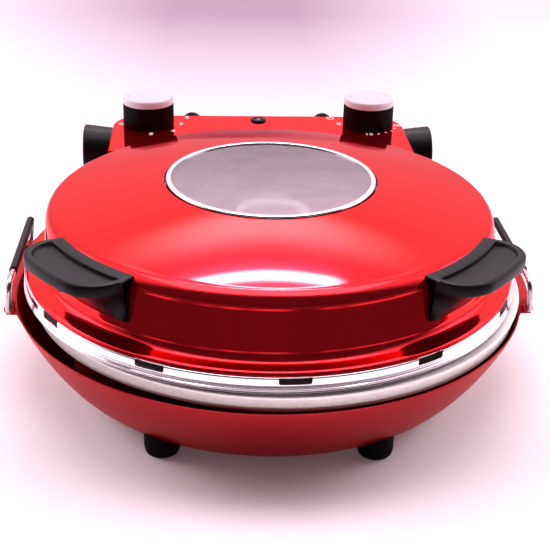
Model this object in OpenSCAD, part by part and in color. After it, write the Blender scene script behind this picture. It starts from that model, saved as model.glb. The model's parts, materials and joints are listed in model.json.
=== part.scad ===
// Electric pizza maker: a round countertop cooker with a hinged, domed lid.
// Millimetres, +Z up, front towards -Y. The origin is on the table, in the middle of the footprint.
// Pieces are drawn about the cooking axis and moved to it by on_axis().

/* [Cooking chamber] */
// Radius of the baking stone, which sets the radius of all that lies round it
stone_r = 154; // [138:1:170]
// How far the flange of the red lid reaches beyond the stone
lid_over = 22; // [19:0.5:25]
// Height of the lid's flange edge above the table
flange_z = 88; // [84:1:96]
// Thickness of the pressed sheet of the lid and the bowl
sheet_t = 1.2; // [1:0.1:1.5]
// Thickness of the baking stone
stone_t = 12; // [8:1:14]
// Sideways offset of the inner pan, which sits a little off centre in the bowl
pan_shift = 5; // [0:0.5:5.5]
// Radius of the two tubular heating elements, centre of the tube
element_r = 105; // [90:1:120]
// Radius of a heating element's tube
tube_r = 3.3; // [3:0.1:4]

/* [Lid] */
// Height of the lid's side wall, from the flange edge to the shoulder
wall_h = 35; // [30:1:40]
// Rise of the dome over the shoulder
dome_rise = 23.4; // [18:0.2:28]
// Radius of the window bezel
bezel_r = 75; // [65:1:80]
// Thickness of the window glass
glass_t = 4; // [3:0.5:5]
// Width of one vent slot in the lid's lower ring
slot_w = 20.5; // [10:0.5:24]
// Height of one vent slot
slot_h = 5; // [3:0.1:5.4]

/* [Base] */
// How far the bowl's rim reaches beyond the lid's flange
rim_over = 8.5; // [8:0.25:11]
// How far the edge of the bowl's flat floor lies inside the rim
bowl_turn = 39; // [34:1:44]
// Height of a foot
foot_h = 10.5; // [9:0.5:16]
// Radius of a foot
foot_r = 12.3; // [11:0.1:14]
// How far a foot's axis lies inside the edge of the bowl's floor
foot_inset = 2.5; // [1:0.5:20]

/* [Handles] */
// How far a lid handle reaches beyond the lid's flange
handle_over = 15; // [10:0.5:18]
// Half of the angle that a lid handle spans
handle_half = 14.5; // [12:0.5:18]
// Angle of a lid handle from the front
handle_angle = 50; // [44:1:54]
// Radius of a lid handle's front corner
handle_front_c = 26; // [18:1:28]
// Radius of a lid handle's rear corner
handle_rear_c = 22; // [8:1:26]
// Thickness of a lid handle at its outer edge
handle_edge = 8; // [6:0.5:10]
// Radius of the carrying bail's wire
wire_r = 2; // [1.5:0.1:2.2]
// Radius of the sleeve on a bail
sleeve_r = 3; // [2.8:0.1:3.2]
// Length of the sleeve on a bail
sleeve_len = 91; // [60:1:92]
// Height of a bail above its pivot
bail_h = 22.5; // [20:0.5:26]
// How far a bail's pivot lies inside the rim's outer edge
bail_inset = 0.5; // [0:0.25:0.5]
// How far a bail stands behind the cooking axis
bail_y = 7.5; // [4:0.5:12]

/* [Control box] */
// Width of the control box
box_w = 255; // [240:1:260]
// Depth of the control box, front to back
box_d = 95; // [90:1:98]
// Height of the control box
box_h = 42; // [38:1:44]
// How far the back of the box lies behind the lid's flange
box_behind = 57; // [54:1:60]
// Height of the box's top above the lid's flange edge
box_rise = 32; // [30:1:36]
// Distance of a knob's axis from the end of the box
knob_inset = 31; // [28:0.5:36]
// Radius of a knob
knob_r = 22; // [18:0.5:23]
// Height of a knob with its cap
knob_h = 25.8; // [22:0.2:30]
// Thickness of a knob's light cap
cap_h = 6; // [4:0.5:8]

/* [Hinge] */
// How far the hinge axis lies in front of the back of the box
hinge_inset = 21.5; // [19:0.5:24]
// Height of the hinge axis above the lid's flange edge
hinge_rise = 5.5; // [4:0.5:7]
// Radius of a hinge pin
pin_r = 4; // [3:0.25:5]
// Length of a hinge knuckle
knuckle_len = 26; // [20:1:30]
// Outer radius of a hinge knuckle at its far end
knuckle_r = 23.5; // [21:0.5:24]

/* [Hidden] */

$fn = 96;
gap = 0.1;            // clearance between pieces that seat in each other
run_gap = 0.05;       // radial clearance of a running fit
m4_r = 2;             // radius of the small screws
head_r = 3.6;         // radius of a screw head
head_t = 2.2;         // thickness of a screw head
steel_t = 3;          // thickness of the hinge bracket
skin_t = 2;           // wall of the control box

// Radii and places that follow the stone, from the inside out
lid_r = stone_r + lid_over;
rim_r = lid_r + rim_over;
floor_r = rim_r - bowl_turn;
foot_reach = floor_r - foot_inset;
handle_r = lid_r + handle_over;
bail_x = rim_r - bail_inset;
box_back = lid_r + box_behind;
hinge_y = box_back - hinge_inset;
knob_x = box_w / 2 - knob_inset;

// Levels, from the table up
floor_z = foot_h;
rim_z = flange_z - 21.7;
pan_low = flange_z - 24.5;
pan_top = flange_z - 13.5;
pan_t = 1;
ring_low = flange_z - 11;
shoulder_z = flange_z + wall_h;
box_top = flange_z + box_rise;
box_low = box_top - box_h;
hinge_z = flange_z + hinge_rise;
stone_z = pan_top - 4.5 - stone_t;
ledge_z = stone_z;
pan_floor = ledge_z - 20;
lower_tube_z = pan_floor + pan_t + 6 + tube_r;

// The box, the knobs and the footprint
bumper_len = 12;
bumper_r = 9.5;
knob_y = box_back - 25.5;
front_reach = rim_r;
back_reach = box_back + bumper_len;
axis_y = (front_reach - back_reach) / 2;
box_front = box_back - box_d;
box_corner = 28;

// ---------- outlines ----------
function arc(c, r, a0, a1, n) =
    [for (i = [0:n]) c + r * [cos(a0 + (a1 - a0) * i / n), sin(a0 + (a1 - a0) * i / n)]];
function bezier(a, b, c, n) =
    [for (i = [0:n]) let (t = i / n) (1 - t) * (1 - t) * a + 2 * t * (1 - t) * b + t * t * c];
function unit(v) = v / norm(v);
function side(p, i) =
    let (a = p[max(i - 1, 0)], b = p[min(i + 1, len(p) - 1)], d = unit(b - a)) [-d[1], d[0]];
function shifted(p, t) = [for (i = [0:len(p) - 1]) p[i] + t * side(p, i)];
function reversed(p) = [for (i = [len(p) - 1:-1:0]) p[i]];
// A sheet of thickness t whose outer face follows the path p
function sheet(p, t) = concat(p, reversed(shifted(p, t)));

// Height of the dome over the flange edge's level, at radius r
dome_edge_r = lid_r - 17;
function dome_z(r) = shoulder_z + 9.8 + dome_rise * (1 - pow(r / dome_edge_r, 1.56));

// Outer path of the lid, from the window's edge down to the flange edge
hole_r = bezel_r + 1.2;
wall_top = [lid_r - 15.7, shoulder_z - 1];
wall_foot = [lid_r - 13, flange_z + 10.5];
dome_end_r = dome_edge_r - 8.5;
dome_steps = 12;
function dome_path() =
    [for (i = [0:dome_steps]) let (r = hole_r + (dome_end_r - hole_r) * i / dome_steps) [r, dome_z(r)]];
function shoulder_path() =
    bezier([dome_end_r, dome_z(dome_end_r)], [wall_top[0], dome_z(dome_end_r) - 1.2], wall_top, 8);
function flange_path() = concat(
    bezier(wall_foot, [wall_foot[0] + 0.5, flange_z + 4.6], [lid_r - 7.5, flange_z + 3.6], 6),
    bezier([lid_r - 3.2, flange_z + 2.9], [lid_r, flange_z + 2.4], [lid_r, flange_z], 5));
function lid_path() = concat(
    dome_path(), [for (i = [1:8]) shoulder_path()[i]], flange_path());

// Outer path of the bowl: a nearly upright wall that turns under to a flat floor
bowl_depth = rim_z - floor_z;
bowl_flat = 1.47;     // higher values pull the wall in towards the floor's edge
bowl_drop = 1.79;     // higher values keep the wall upright for longer below the rim
function bowl_point(a) = [
    floor_r + (rim_r - floor_r) * pow(cos(a), bowl_flat),
    rim_z - bowl_depth * pow(sin(a), bowl_drop)];
// Radius of the bowl's outer wall at height z
function bowl_at(z) = floor_r + (rim_r - floor_r)
    * pow(1 - pow((rim_z - z) / bowl_depth, 2 / bowl_drop), bowl_flat / 2);
function bowl_path() = concat([for (i = [0:14]) bowl_point(i * 90 / 14)], [[1.2, floor_z]]);

// Half a sector of a ring, from +X to its end, with the outer corner rounded
function half_sector(ri, ro, half, c) =
    let (ac = half - asin(c / (ro - c)), p = (ro - c) * [cos(ac), sin(ac)])
    concat(arc([0, 0], ro, 0, ac, 10), arc(p, c, ac, half + 90, 8),
           [ri * [cos(half), sin(half)]]);
// A sector of a ring about +X; c0 rounds the corner on the side of +Y, c1 the other one
function sector(ri, ro, half, c0, c1) =
    let (low = [for (q = reversed(half_sector(ri, ro, half, c1))) [q[0], -q[1]]])
    concat(half_sector(ri, ro, half, c0), arc([0, 0], ri, half, -half, 12), low);

module on_axis() { translate([0, axis_y, 0]) children(); }
module turned(points) { rotate_extrude() polygon(points); }
module spin(n, first = 0) { for (i = [0:n - 1]) rotate([0, 0, first + i * 360 / n]) children(); }
module tube(ro, ri, h) {
    difference() {
        cylinder(r = ro, h = h);
        translate([0, 0, -1]) cylinder(r = ri, h = h + 2);
    }
}
// A pan-head screw: the head sits on z = 0 and the shank hangs down from it
module screw(len, r = m4_r) {
    cylinder(r = head_r, h = head_t);
    translate([0, 0, -len]) cylinder(r = r, h = len);
}
module nut(r, bore, h) {
    difference() {
        cylinder(r = r, h = h, $fn = 6);
        translate([0, 0, -1]) cylinder(r = bore, h = h + 2);
    }
}
module along_x() { rotate([0, 90, 0]) children(); }
module along_y() { rotate([-90, 0, 0]) children(); }

// ---------- base ----------
foot_turn = -2;       // the feet are turned a little about the cooking axis
foot_angles = [for (a = [60, 120, 240, 300]) a + foot_turn];
pan_screw_r = 60;
bracket_x = 35;
bracket_z = floor_z + 36.5;
module bowl_solid() { turned(sheet(bowl_path(), -sheet_t)); }
// All that lies inside the bowl's outer face, and a clearance round it
module bowl_room(room) {
    over = 0.1;       // a little above the rim, so that nothing thin is left there
    turned(concat([[0, rim_z + over], [rim_r + room, rim_z + over]],
        shifted(bowl_path(), room), [[0, floor_z - room]]));
}
// Rivets stand square on the bowl's wall; their z runs outwards from its outer face
rivet_z = rim_z - 8;
rivet_r = 1.6;
wall_tilt = atan(bowl_at(rivet_z + 0.5) - bowl_at(rivet_z - 0.5));
module at_rivets() {
    for (s = [0, 1], a = [2, 14]) mirror([s, 0, 0]) rotate([0, 0, a])
        translate([bowl_at(rivet_z), 0, rivet_z]) rotate([0, 90 + wall_tilt, 0]) children();
}

module base_bowl() {
    color("firebrick") on_axis() difference() {
        union() {
            bowl_solid();
            translate([0, 0, floor_z]) cylinder(r = 3, h = sheet_t);
        }
        at_foot_screws() translate([0, 0, floor_z - 1]) cylinder(r = m4_r + gap, h = 5);
        at_rivets() translate([0, 0, -5]) cylinder(r = rivet_r + gap, h = 10);
        translate([pan_shift, 0, floor_z - 1]) spin(3, 30) translate([pan_screw_r, 0, 0])
            cylinder(r = m4_r + gap, h = 5);
        for (x = [-bracket_x, bracket_x]) translate([x, floor_r, bracket_z])
            along_y() cylinder(r = m4_r + gap, h = rim_r - floor_r);
    }
}

foot_top = floor_z + 8;
module foot() {
    turned(concat([[0, foot_top], [0, 0], [foot_r - 4.5, 0]],
        arc([foot_r - 4.5, 4], 4, -90, -5, 6), [[foot_r, foot_top]]));
}
module at_feet() { for (a = foot_angles) rotate([0, 0, a]) translate([foot_reach, 0, 0]) children(); }
module at_foot_screws() {
    for (a = foot_angles) rotate([0, 0, a]) translate([foot_reach - 4, 0, 0]) children();
}
foot_screw_len = foot_h - 5;
module feet() {
    color("black") on_axis() difference() {
        at_feet() foot();
        bowl_room(gap);
        at_foot_screws() translate([0, 0, foot_h - foot_screw_len])
            cylinder(r = m4_r, h = foot_screw_len + 1);
    }
}
module foot_screws() {
    color("silver") on_axis() at_foot_screws()
        translate([0, 0, floor_z + sheet_t]) screw(sheet_t + foot_screw_len - gap);
}

// Pan: skirt, rim, wall, stone ledge and floor in one pressing
pan_r = lid_r + 2;
pan_wall_r = pan_r - 14.5;
skirt_in = 2.2;       // how far the upright skirt stands inside the pan's rim
ledge_out = stone_r + 1.5;
ledge_in = stone_r - 7;
function pan_path() = concat(
    [[pan_r - skirt_in - 0.5, pan_low], [pan_r - skirt_in, pan_low + 0.6],
     [pan_r - skirt_in, pan_top - 3.1], [pan_r, pan_top - 2]],
    arc([pan_r - 1.5, pan_top - 1.5], 1.5, 0, 90, 5),
    [[pan_wall_r + 2, pan_top], [pan_wall_r, pan_top - 1.5], [ledge_out + 0.8, ledge_z + 3],
     [ledge_out, ledge_z], [ledge_in, ledge_z], [ledge_in - 3, pan_floor + 3],
     [ledge_in - 6, pan_floor + pan_t], [0.6, pan_floor + pan_t]]);
// The path follows the pan's upper face, so the sheet lies under it
module pan_solid() {
    p = pan_path();
    union() {
        turned(concat(p, reversed(shifted(p, pan_t))));
        translate([0, 0, pan_floor]) cylinder(r = 3, h = pan_t);
    }
}
element_leg_half = 9;
module at_pan() { on_axis() translate([pan_shift, 0, 0]) children(); }
module inner_pan() {
    color("gainsboro") at_pan() difference() {
        pan_solid();
        translate([0, 0, pan_floor - 1]) spin(3, 30) translate([pan_screw_r, 0, 0])
            cylinder(r = m4_r + gap, h = 5);
        for (s = [-1, 1]) rotate([0, 0, 90 + s * element_leg_half])
            translate([element_r, 0, pan_floor - 1]) cylinder(r = tube_r + 0.4, h = 5);
    }
}
spacer_low = floor_z + sheet_t;
module pan_spacers() {
    color("silver") at_pan() spin(3, 30) translate([pan_screw_r, 0, spacer_low])
        tube(5, m4_r + gap, pan_floor - spacer_low);
}
nut_t = 3;
module pan_screws() {
    color("silver") at_pan() spin(3, 30) translate([pan_screw_r, 0, pan_floor + pan_t])
        screw(pan_floor + pan_t - floor_z + nut_t + 1);
}
module pan_nuts() {
    color("silver") at_pan() spin(3, 30) translate([pan_screw_r, 0, floor_z - nut_t])
        nut(3.8, m4_r, nut_t);
}
// A heating element: a ring of tube that is open at the back, with two legs
module element(z, leg) {
    translate([0, 0, z]) {
        rotate([0, 0, 90 + element_leg_half]) rotate_extrude(angle = 360 - 2 * element_leg_half)
            translate([element_r, 0]) circle(r = tube_r, $fn = 32);
        for (s = [-1, 1]) rotate([0, 0, 90 + s * element_leg_half]) translate([element_r, 0, 0]) {
            sphere(r = tube_r, $fn = 32);
            translate([0, 0, min(0, leg)]) cylinder(r = tube_r, h = abs(leg), $fn = 32);
        }
    }
}
leg_out = 8;          // how far an element's legs stand out beyond the sheet
leg_drop = lower_tube_z - pan_floor + leg_out;
module lower_element() { color("dimgray") at_pan() element(lower_tube_z, -leg_drop); }
clip_w = 7;
clip_d = 14;
module clip(h, tube_at) {
    difference() {
        translate([-clip_d / 2, -clip_w / 2, 0]) cube([clip_d, clip_w, h]);
        translate([0, 0, tube_at]) along_y()
            translate([0, 0, -clip_w]) cylinder(r = tube_r + 0.15, h = 2 * clip_w, $fn = 32);
    }
}
module lower_element_clips() {
    h = lower_tube_z - pan_floor - pan_t;
    color("silver") at_pan() for (a = [30, 150, 270]) rotate([0, 0, a])
        translate([element_r, 0, pan_floor + pan_t]) clip(h + tube_r + 2, h);
}
module baking_stone() {
    c = 1.5;
    color("tan") at_pan() turned([[0, stone_z], [stone_r - c, stone_z], [stone_r, stone_z + c],
        [stone_r, stone_z + stone_t - c], [stone_r - c, stone_z + stone_t], [0, stone_z + stone_t]]);
}

// Hinge bracket: a strap across the back of the bowl with an upright ear at each end
ear_x = box_w / 2 + 13;
strap_y = rim_r + 3.5;
strap_low = floor_z + 24.5;
strap_h = 24;
ear_r = 14;
ear_front = strap_y;
module ear() {
    translate([-steel_t / 2, 0, 0]) along_x() linear_extrude(steel_t) union() {
        translate([-hinge_z, hinge_y]) circle(r = ear_r);
        polygon([[-strap_low, ear_front], [-strap_low - strap_h, ear_front],
                 [-hinge_z, hinge_y - ear_r], [-hinge_z, hinge_y + ear_r], [-strap_low, ear_front + 20]]);
    }
}
module hinge_bracket() {
    color("firebrick") on_axis() difference() {
        union() {
            translate([-ear_x, strap_y, strap_low]) cube([2 * ear_x, steel_t, strap_h]);
            for (s = [-1, 1]) translate([s * ear_x, 0, 0]) ear();
        }
        for (x = [-bracket_x, bracket_x]) translate([x, floor_r, bracket_z])
            along_y() cylinder(r = m4_r + gap, h = strap_y + steel_t + 1 - floor_r);
        translate([-2 * ear_x, hinge_y, hinge_z]) along_x() cylinder(r = pin_r, h = 4 * ear_x);
    }
}
module at_bracket_bolts() {
    for (x = [-bracket_x, bracket_x]) translate([x, 0, bracket_z]) along_y() children();
}
// The spacers start at the bowl's outer wall and end at the strap
module bracket_spacers() {
    color("silver") on_axis() difference() {
        at_bracket_bolts() translate([0, 0, floor_r]) cylinder(r = 6, h = strap_y - floor_r);
        bowl_room(0.05);
        at_bracket_bolts() cylinder(r = m4_r + gap, h = strap_y + 1);
    }
}
nut_seat = 5;         // from the bowl's outer wall to the flat nuts inside it
bolt_head_y = sqrt(pow(bowl_at(bracket_z), 2) - pow(bracket_x, 2)) - nut_seat;
module bracket_bolts() {
    color("silver") on_axis() at_bracket_bolts() {
        translate([0, 0, bolt_head_y]) cylinder(r = m4_r, h = strap_y + steel_t - bolt_head_y);
        translate([0, 0, strap_y + steel_t]) cylinder(r = head_r, h = head_t);
        translate([0, 0, bolt_head_y - nut_t]) cylinder(r = head_r, h = nut_t);
    }
}
// Hinge knuckles: flared black drums that slip over the ears
drum_room = 0.6;      // between a drum and the end of the box
pin_out = 7;          // how far a drum's bore goes beyond the ear's middle
module knuckle_body() {
    c = 1.5;
    along_x() turned([[0, 0], [knuckle_r - 3.5, 0], [knuckle_r - 3, 0.5],
        [knuckle_r, knuckle_len - c], [knuckle_r - c, knuckle_len], [0, knuckle_len + 0.6]]);
}
module hinge_knuckle(s) {
    inner = box_w / 2 + drum_room;
    bore_in = ear_x - inner + 1;      // the pin enters from the box's side
    ear_slot = hinge_z - strap_low;
    color("black") on_axis() difference() {
        translate([s * inner, hinge_y, hinge_z]) mirror([s < 0 ? 1 : 0, 0, 0]) knuckle_body();
        translate([s * ear_x - (steel_t / 2 + gap), strap_y - gap, hinge_z - ear_slot])
            cube([steel_t + 2 * gap, hinge_y + ear_r - strap_y + 2 * gap, ear_slot]);
        translate([s * ear_x - (steel_t / 2 + gap), hinge_y, hinge_z])
            along_x() cylinder(r = ear_r + gap, h = steel_t + 2 * gap);
        translate([s * (inner - 1), hinge_y, hinge_z]) mirror([s < 0 ? 1 : 0, 0, 0]) along_x()
            cylinder(r = pin_r, h = bore_in + pin_out);
    }
}
bush_len = 10;
pin_in = box_w / 2 - bush_len + 0.5;
module hinge_pin(s) {
    color("silver") on_axis() translate([s * pin_in, hinge_y, hinge_z])
        mirror([s < 0 ? 1 : 0, 0, 0]) along_x() cylinder(r = pin_r, h = ear_x + pin_out - 0.5 - pin_in);
}

// Side lugs: crescent plates outside the bowl's rim that hold the bails
lug_t = 1.5;
lug_y = 23;           // middle of the crescent, behind the cooking axis
lug_half = 72;
lug_out = 9.2;        // how far the crescent stands out from the rim
knuckle_near = 46;    // from the bail's middle to the near end of a rolled knuckle
knuckle_far = 56;     // and to its far end
knuckle_tube = 3.4;
lug_low = rim_z - lug_t;
pivot_z = lug_low + knuckle_tube + 0.5;
module at_lug_knuckles() {
    for (e = [0, 1]) translate([0, bail_y, 0]) mirror([0, e, 0]) translate([0, knuckle_near, 0]) children();
}
// The lug's skirt lies on the bowl's wall, below the plate
function lug_skirt() =
    let (p = shifted([for (i = [0:8]) bowl_point(3 * i)], 0.05)) concat(p, reversed(shifted(p, 1.2)));
module side_lug(s) {
    knuckle_w = knuckle_far - knuckle_near;
    crescent_r = rim_r + lug_out / 2 + 1.1;
    color("firebrick") on_axis() mirror([s < 0 ? 1 : 0, 0, 0]) difference() {
        union() {
            translate([0, 0, lug_low]) linear_extrude(lug_t) intersection() {
                difference() {
                    translate([rim_r + lug_out - crescent_r, lug_y - 8]) circle(r = crescent_r);
                    circle(r = rim_r + 0.05);
                }
                translate([0, lug_y - lug_half]) square([rim_r + 20, 2 * lug_half]);
            }
            intersection() {
                turned(lug_skirt());
                translate([0, lug_y - lug_half, 0]) cube([rim_r + 20, 2 * lug_half, rim_z]);
            }
            at_lug_knuckles() {
                translate([bail_x, 0, pivot_z]) along_y()
                    cylinder(r = knuckle_tube, h = knuckle_w, $fn = 32);
                translate([bail_x - 16, 0, lug_low]) cube([18, knuckle_w, lug_t]);
            }
        }
        at_lug_knuckles() translate([bail_x, -1, pivot_z]) along_y()
            cylinder(r = wire_r + run_gap, h = knuckle_w + 2, $fn = 32);
        bowl_room(0.05);
        at_rivets() translate([0, 0, -5]) cylinder(r = rivet_r + gap, h = 10);
    }
}
rivet_out = 1.4;      // from the wall's outer face to a rivet's head, past the lug's skirt
module lug_rivets() {
    color("firebrick") on_axis() at_rivets() {
        translate([0, 0, rivet_out]) cylinder(r = 2.6, h = 0.9);
        translate([0, 0, -sheet_t - 0.2]) cylinder(r = rivet_r, h = sheet_t + 0.2 + rivet_out);
        translate([0, 0, -sheet_t - 1]) cylinder(r = 2.4, h = 0.8);
    }
}
// Bail: a wire hoop whose ends turn in the lug's two rolled knuckles, with its legs outside them
low_bend = 3;
top_bend = 7;
leg_y = knuckle_far + low_bend + 0.5;
bar_half = leg_y - top_bend;
module bend_tube(r0) {
    rotate_extrude(angle = 90) translate([r0, 0]) circle(r = wire_r, $fn = 24);
}
module bail_half() {
    translate([0, knuckle_near - 1, 0]) along_y()
        cylinder(r = wire_r, h = leg_y - low_bend - knuckle_near + 1, $fn = 24);
    translate([0, leg_y - low_bend, low_bend]) rotate([0, 90, 0]) bend_tube(low_bend);
    translate([0, leg_y, low_bend]) cylinder(r = wire_r, h = bail_h - low_bend - top_bend, $fn = 24);
    translate([0, leg_y - top_bend, bail_h - top_bend]) rotate([90, 0, 90]) bend_tube(top_bend);
    translate([0, 0, bail_h]) along_y() cylinder(r = wire_r, h = bar_half, $fn = 24);
}
lean = 6;             // the hoop leans towards the lid
module at_bail(s) {
    on_axis() mirror([s < 0 ? 1 : 0, 0, 0]) translate([bail_x, bail_y, pivot_z])
        rotate([0, -lean, 0]) children();
}
module bail_wire(s) {
    color("silver") at_bail(s) for (e = [0, 1]) mirror([0, e, 0]) bail_half();
}
module bail_sleeve(s) {
    color("black") at_bail(s) translate([0, bar_half - 0.5 - sleeve_len, bail_h]) along_y()
        tube(sleeve_r, wire_r + gap, sleeve_len);
}

// ---------- lid ----------
screw_z = flange_z + 30;
handle_screw_half = 7;
function wall_r(z) =
    wall_foot[0] + (wall_top[0] - wall_foot[0]) * (z - wall_foot[1]) / (wall_top[1] - wall_foot[1]);
module at_handle(s) { rotate([0, 0, -90 + s * handle_angle]) children(); }
module handle_holes(r) {
    for (s = [-1, 1], e = [-1, 1]) at_handle(s) rotate([0, 0, e * handle_screw_half])
        translate([wall_top[0] - 20, 0, screw_z]) along_x() cylinder(r = r, h = 40);
}
back_bolt_x = 30;
back_bolt_z = flange_z + 23;
back_hole_y = wall_top[0] - 40;
module back_holes(r) {
    for (x = [-back_bolt_x, back_bolt_x]) translate([x, back_hole_y, back_bolt_z])
        along_y() cylinder(r = r, h = 60);
}
module lid_shell() {
    color("red") on_axis() difference() {
        turned(sheet(lid_path(), -sheet_t));
        handle_holes(m4_r + gap);
        back_holes(m4_r + gap);
    }
}
// Bright ring under the flange, with vent slots all round
ring_t = 1;
ring_r = lid_r + 0.8;
slot_count = 12;
slot_c = 1.6;         // radius of a slot's lower corners
function ring_path() = concat(
    [[ring_r - 15, flange_z - 0.3]], arc([ring_r - 1, flange_z - 1.3], 1, 90, 0, 4),
    [[ring_r, flange_z - 6], [ring_r - 0.8, flange_z - 6.6], [ring_r + 0.2, flange_z - 7.2],
     [ring_r - 0.3, flange_z - 8.2], [ring_r + 0.9, flange_z - 8.8],
     [ring_r + 0.5, flange_z - 9.8], [ring_r + 1.2, ring_low + 0.5], [ring_r + 0.4, ring_low]]);
module lid_ring() {
    color("gainsboro") on_axis() difference() {
        turned(sheet(ring_path(), -ring_t));
        lid_screw_holes(m4_r + gap);
        spin(slot_count, -87.5) translate([ring_r - 3, 0, flange_z + 0.1]) along_x()
            linear_extrude(8) union() {
                translate([0, -slot_w / 2]) square([slot_h - slot_c, slot_w]);
                translate([0, slot_c - slot_w / 2]) square([slot_h, slot_w - 2 * slot_c]);
                for (e = [-1, 1]) translate([slot_h - slot_c, e * (slot_w / 2 - slot_c)])
                    circle(r = slot_c, $fn = 24);
            }
    }
}
// Inner reflector: a bright dish behind the red shell, open at the window
refl_t = 0.8;
refl_r = ring_r - ring_t - 0.4;
refl_wall_r = lid_r - 24;
refl_top = shoulder_z + 1;
refl_low = flange_z - 0.3 - ring_t - gap;
retainer_r = bezel_r + 12;
refl_in = bezel_r - 1;
function refl_path() = concat(
    [[refl_in, dome_z(refl_in) - 15], [refl_wall_r - 14, refl_top]],
    bezier([refl_wall_r - 9, refl_top - 1.2], [refl_wall_r, refl_top - 4], [refl_wall_r, refl_top - 14], 6),
    [[refl_wall_r + 4, refl_low + 2.5], [refl_wall_r + 7, refl_low], [refl_r - 1.5, refl_low]]);
module lid_reflector() {
    color("gainsboro") on_axis() difference() {
        turned(sheet(refl_path(), -refl_t));
        lid_screw_holes(m4_r + gap);
        for (s = [-1, 1]) rotate([0, 0, 90 + s * element_leg_half])
            translate([element_r, 0, flange_z]) cylinder(r = tube_r + 0.4, h = 60);
    }
}
lid_screw_r = lid_r - 10.5;
module lid_screw_holes(r) {
    spin(6, 30) translate([lid_screw_r, 0, flange_z - 20]) cylinder(r = r, h = 40);
}
// Studs under the shell's flange hold the lower ring and the reflector
module lid_screws() {
    low = refl_low - refl_t;
    color("silver") on_axis() spin(6, 30) translate([lid_screw_r, 0, low])
        mirror([0, 0, 1]) screw(flange_z + 2.4 - low);
}
bezel_low = dome_z(hole_r) - 4.5;
bezel_top = dome_z(bezel_r) + 1.8;
glass_z = bezel_top - 1.4 - glass_t;
module window_bezel() {
    in_r = bezel_r - 3.8;
    color("gainsboro") on_axis() turned(concat(
        [[in_r, bezel_top - 1.3], [in_r, bezel_top - 0.5]],
        bezel_round(in_r),
        [[bezel_r, bezel_low], [bezel_r - 1.2, bezel_low], [bezel_r - 1.2, bezel_top - 1.3]]));
}
function bezel_round(in_r) = bezier([in_r + 0.4, bezel_top], [bezel_r - 0.6, bezel_top],
    [bezel_r, bezel_top - 1.4], 5);
module window_glass() {
    color("lightgray", 0.5) on_axis() translate([0, 0, glass_z])
        cylinder(r = bezel_r - 1.2 - gap, h = glass_t);
}
// The retainer clamps the glass, the gasket and the bezel to the shell from inside
gasket_t = 1.2;
module window_gasket() {
    color("whitesmoke") on_axis() translate([0, 0, glass_z - gasket_t])
        tube(bezel_r - 1.2 - gap, bezel_r - 7, gasket_t);
}
retainer_top = glass_z - gasket_t;
retainer_t = 1.5;
module window_retainer() {
    color("silver") on_axis() difference() {
        turned([[bezel_r - 7, retainer_top], [bezel_r - 7, retainer_top - retainer_t],
                [retainer_r, retainer_top - retainer_t], [retainer_r, retainer_top + 0.2],
                [retainer_r - 1.5, retainer_top + 0.2], [retainer_r - 1.5, retainer_top]]);
        spin(4, 45) translate([window_screw_r, 0, 0]) cylinder(r = m4_r - 0.5 + gap, h = 300);
    }
}
window_screw_r = bezel_r + 6;
stud_top = dome_z(window_screw_r) - sheet_t - 1.2;
module window_screws() {
    color("silver") on_axis() spin(4, 45) translate([window_screw_r, 0, retainer_top]) {
        translate([0, 0, -retainer_t]) mirror([0, 0, 1]) cylinder(r = head_r, h = head_t);
        translate([0, 0, -retainer_t]) cylinder(r = m4_r - 0.5, h = retainer_t + stud_top - retainer_top);
    }
}
upper_tube_z = flange_z + 22;
upper_leg = refl_top - upper_tube_z + leg_out;
module upper_element() { color("dimgray") on_axis() element(upper_tube_z, upper_leg); }
module upper_element_clips() {
    hang = 24;
    under = shifted([refl_path()[0], refl_path()[1]], -(refl_t + 0.02));
    color("silver") on_axis() difference() {
        for (a = [30, 150, 270]) rotate([0, 0, a])
            translate([element_r, 0, upper_tube_z - tube_r - 2])
                clip(tube_r + 2 + hang, tube_r + 2);
        turned(concat(under, [[under[1][0], under[0][1] + 30], [under[0][0], under[0][1] + 30]]));
    }
}

// Lid handles: black wings that reach out from the wall, hollowed under the fingers
handle_top = flange_z + 45;
handle_low = flange_z + 15;
handle_in = lid_r - 21;
function hug_path() = concat(
    [for (z = [handle_low, wall_top[1] - 0.5]) [wall_r(z) + gap, z]],
    [for (p = reversed(shoulder_path())) if (p[1] < handle_top - 0.4 && p[1] > wall_top[1]) p + [gap, gap]]);
function handle_section() = concat(
    hug_path(),
    [[handle_in + 2, handle_top], [handle_r - 2, handle_top], [handle_r, handle_top - 2],
     [handle_r, handle_top - handle_edge]],
    bezier([handle_r - 3, handle_top - handle_edge - 1.5], [lid_r - 8, handle_top - handle_edge - 6],
           [wall_foot[0] + 1.5, handle_low], 6));
module handle_plate(s, inset, z, h) {
    translate([0, 0, z]) mirror([0, s > 0 ? 1 : 0, 0]) linear_extrude(h)
        polygon(sector(handle_in + inset, handle_r - inset, handle_half - inset / 3,
                       handle_front_c - inset / 2, handle_rear_c - inset / 2));
}
module handle_solid(s) {
    at_handle(s) difference() {
        intersection() {
            rotate([0, 0, -30]) rotate_extrude(angle = 60) polygon(handle_section());
            handle_plate(s, 0, handle_low - 1, handle_top - handle_low + 2);
        }
        intersection() {
            handle_plate(s, 5.5, handle_top - 2, 10);
            translate([0, 0, handle_top - 2]) turned([[lid_r - 12, 0], [handle_r - 4.5, 0],
                [handle_r - 4, 5], [lid_r - 12, 5]]);
        }
    }
}
handle_screw_in = 9;
module handle(s) {
    color("black") on_axis() difference() {
        handle_solid(s);
        for (e = [-1, 1]) at_handle(s) rotate([0, 0, e * handle_screw_half])
            translate([wall_r(screw_z) - 5, 0, screw_z]) along_x()
                cylinder(r = m4_r, h = 5 + handle_screw_in);
    }
}
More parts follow.
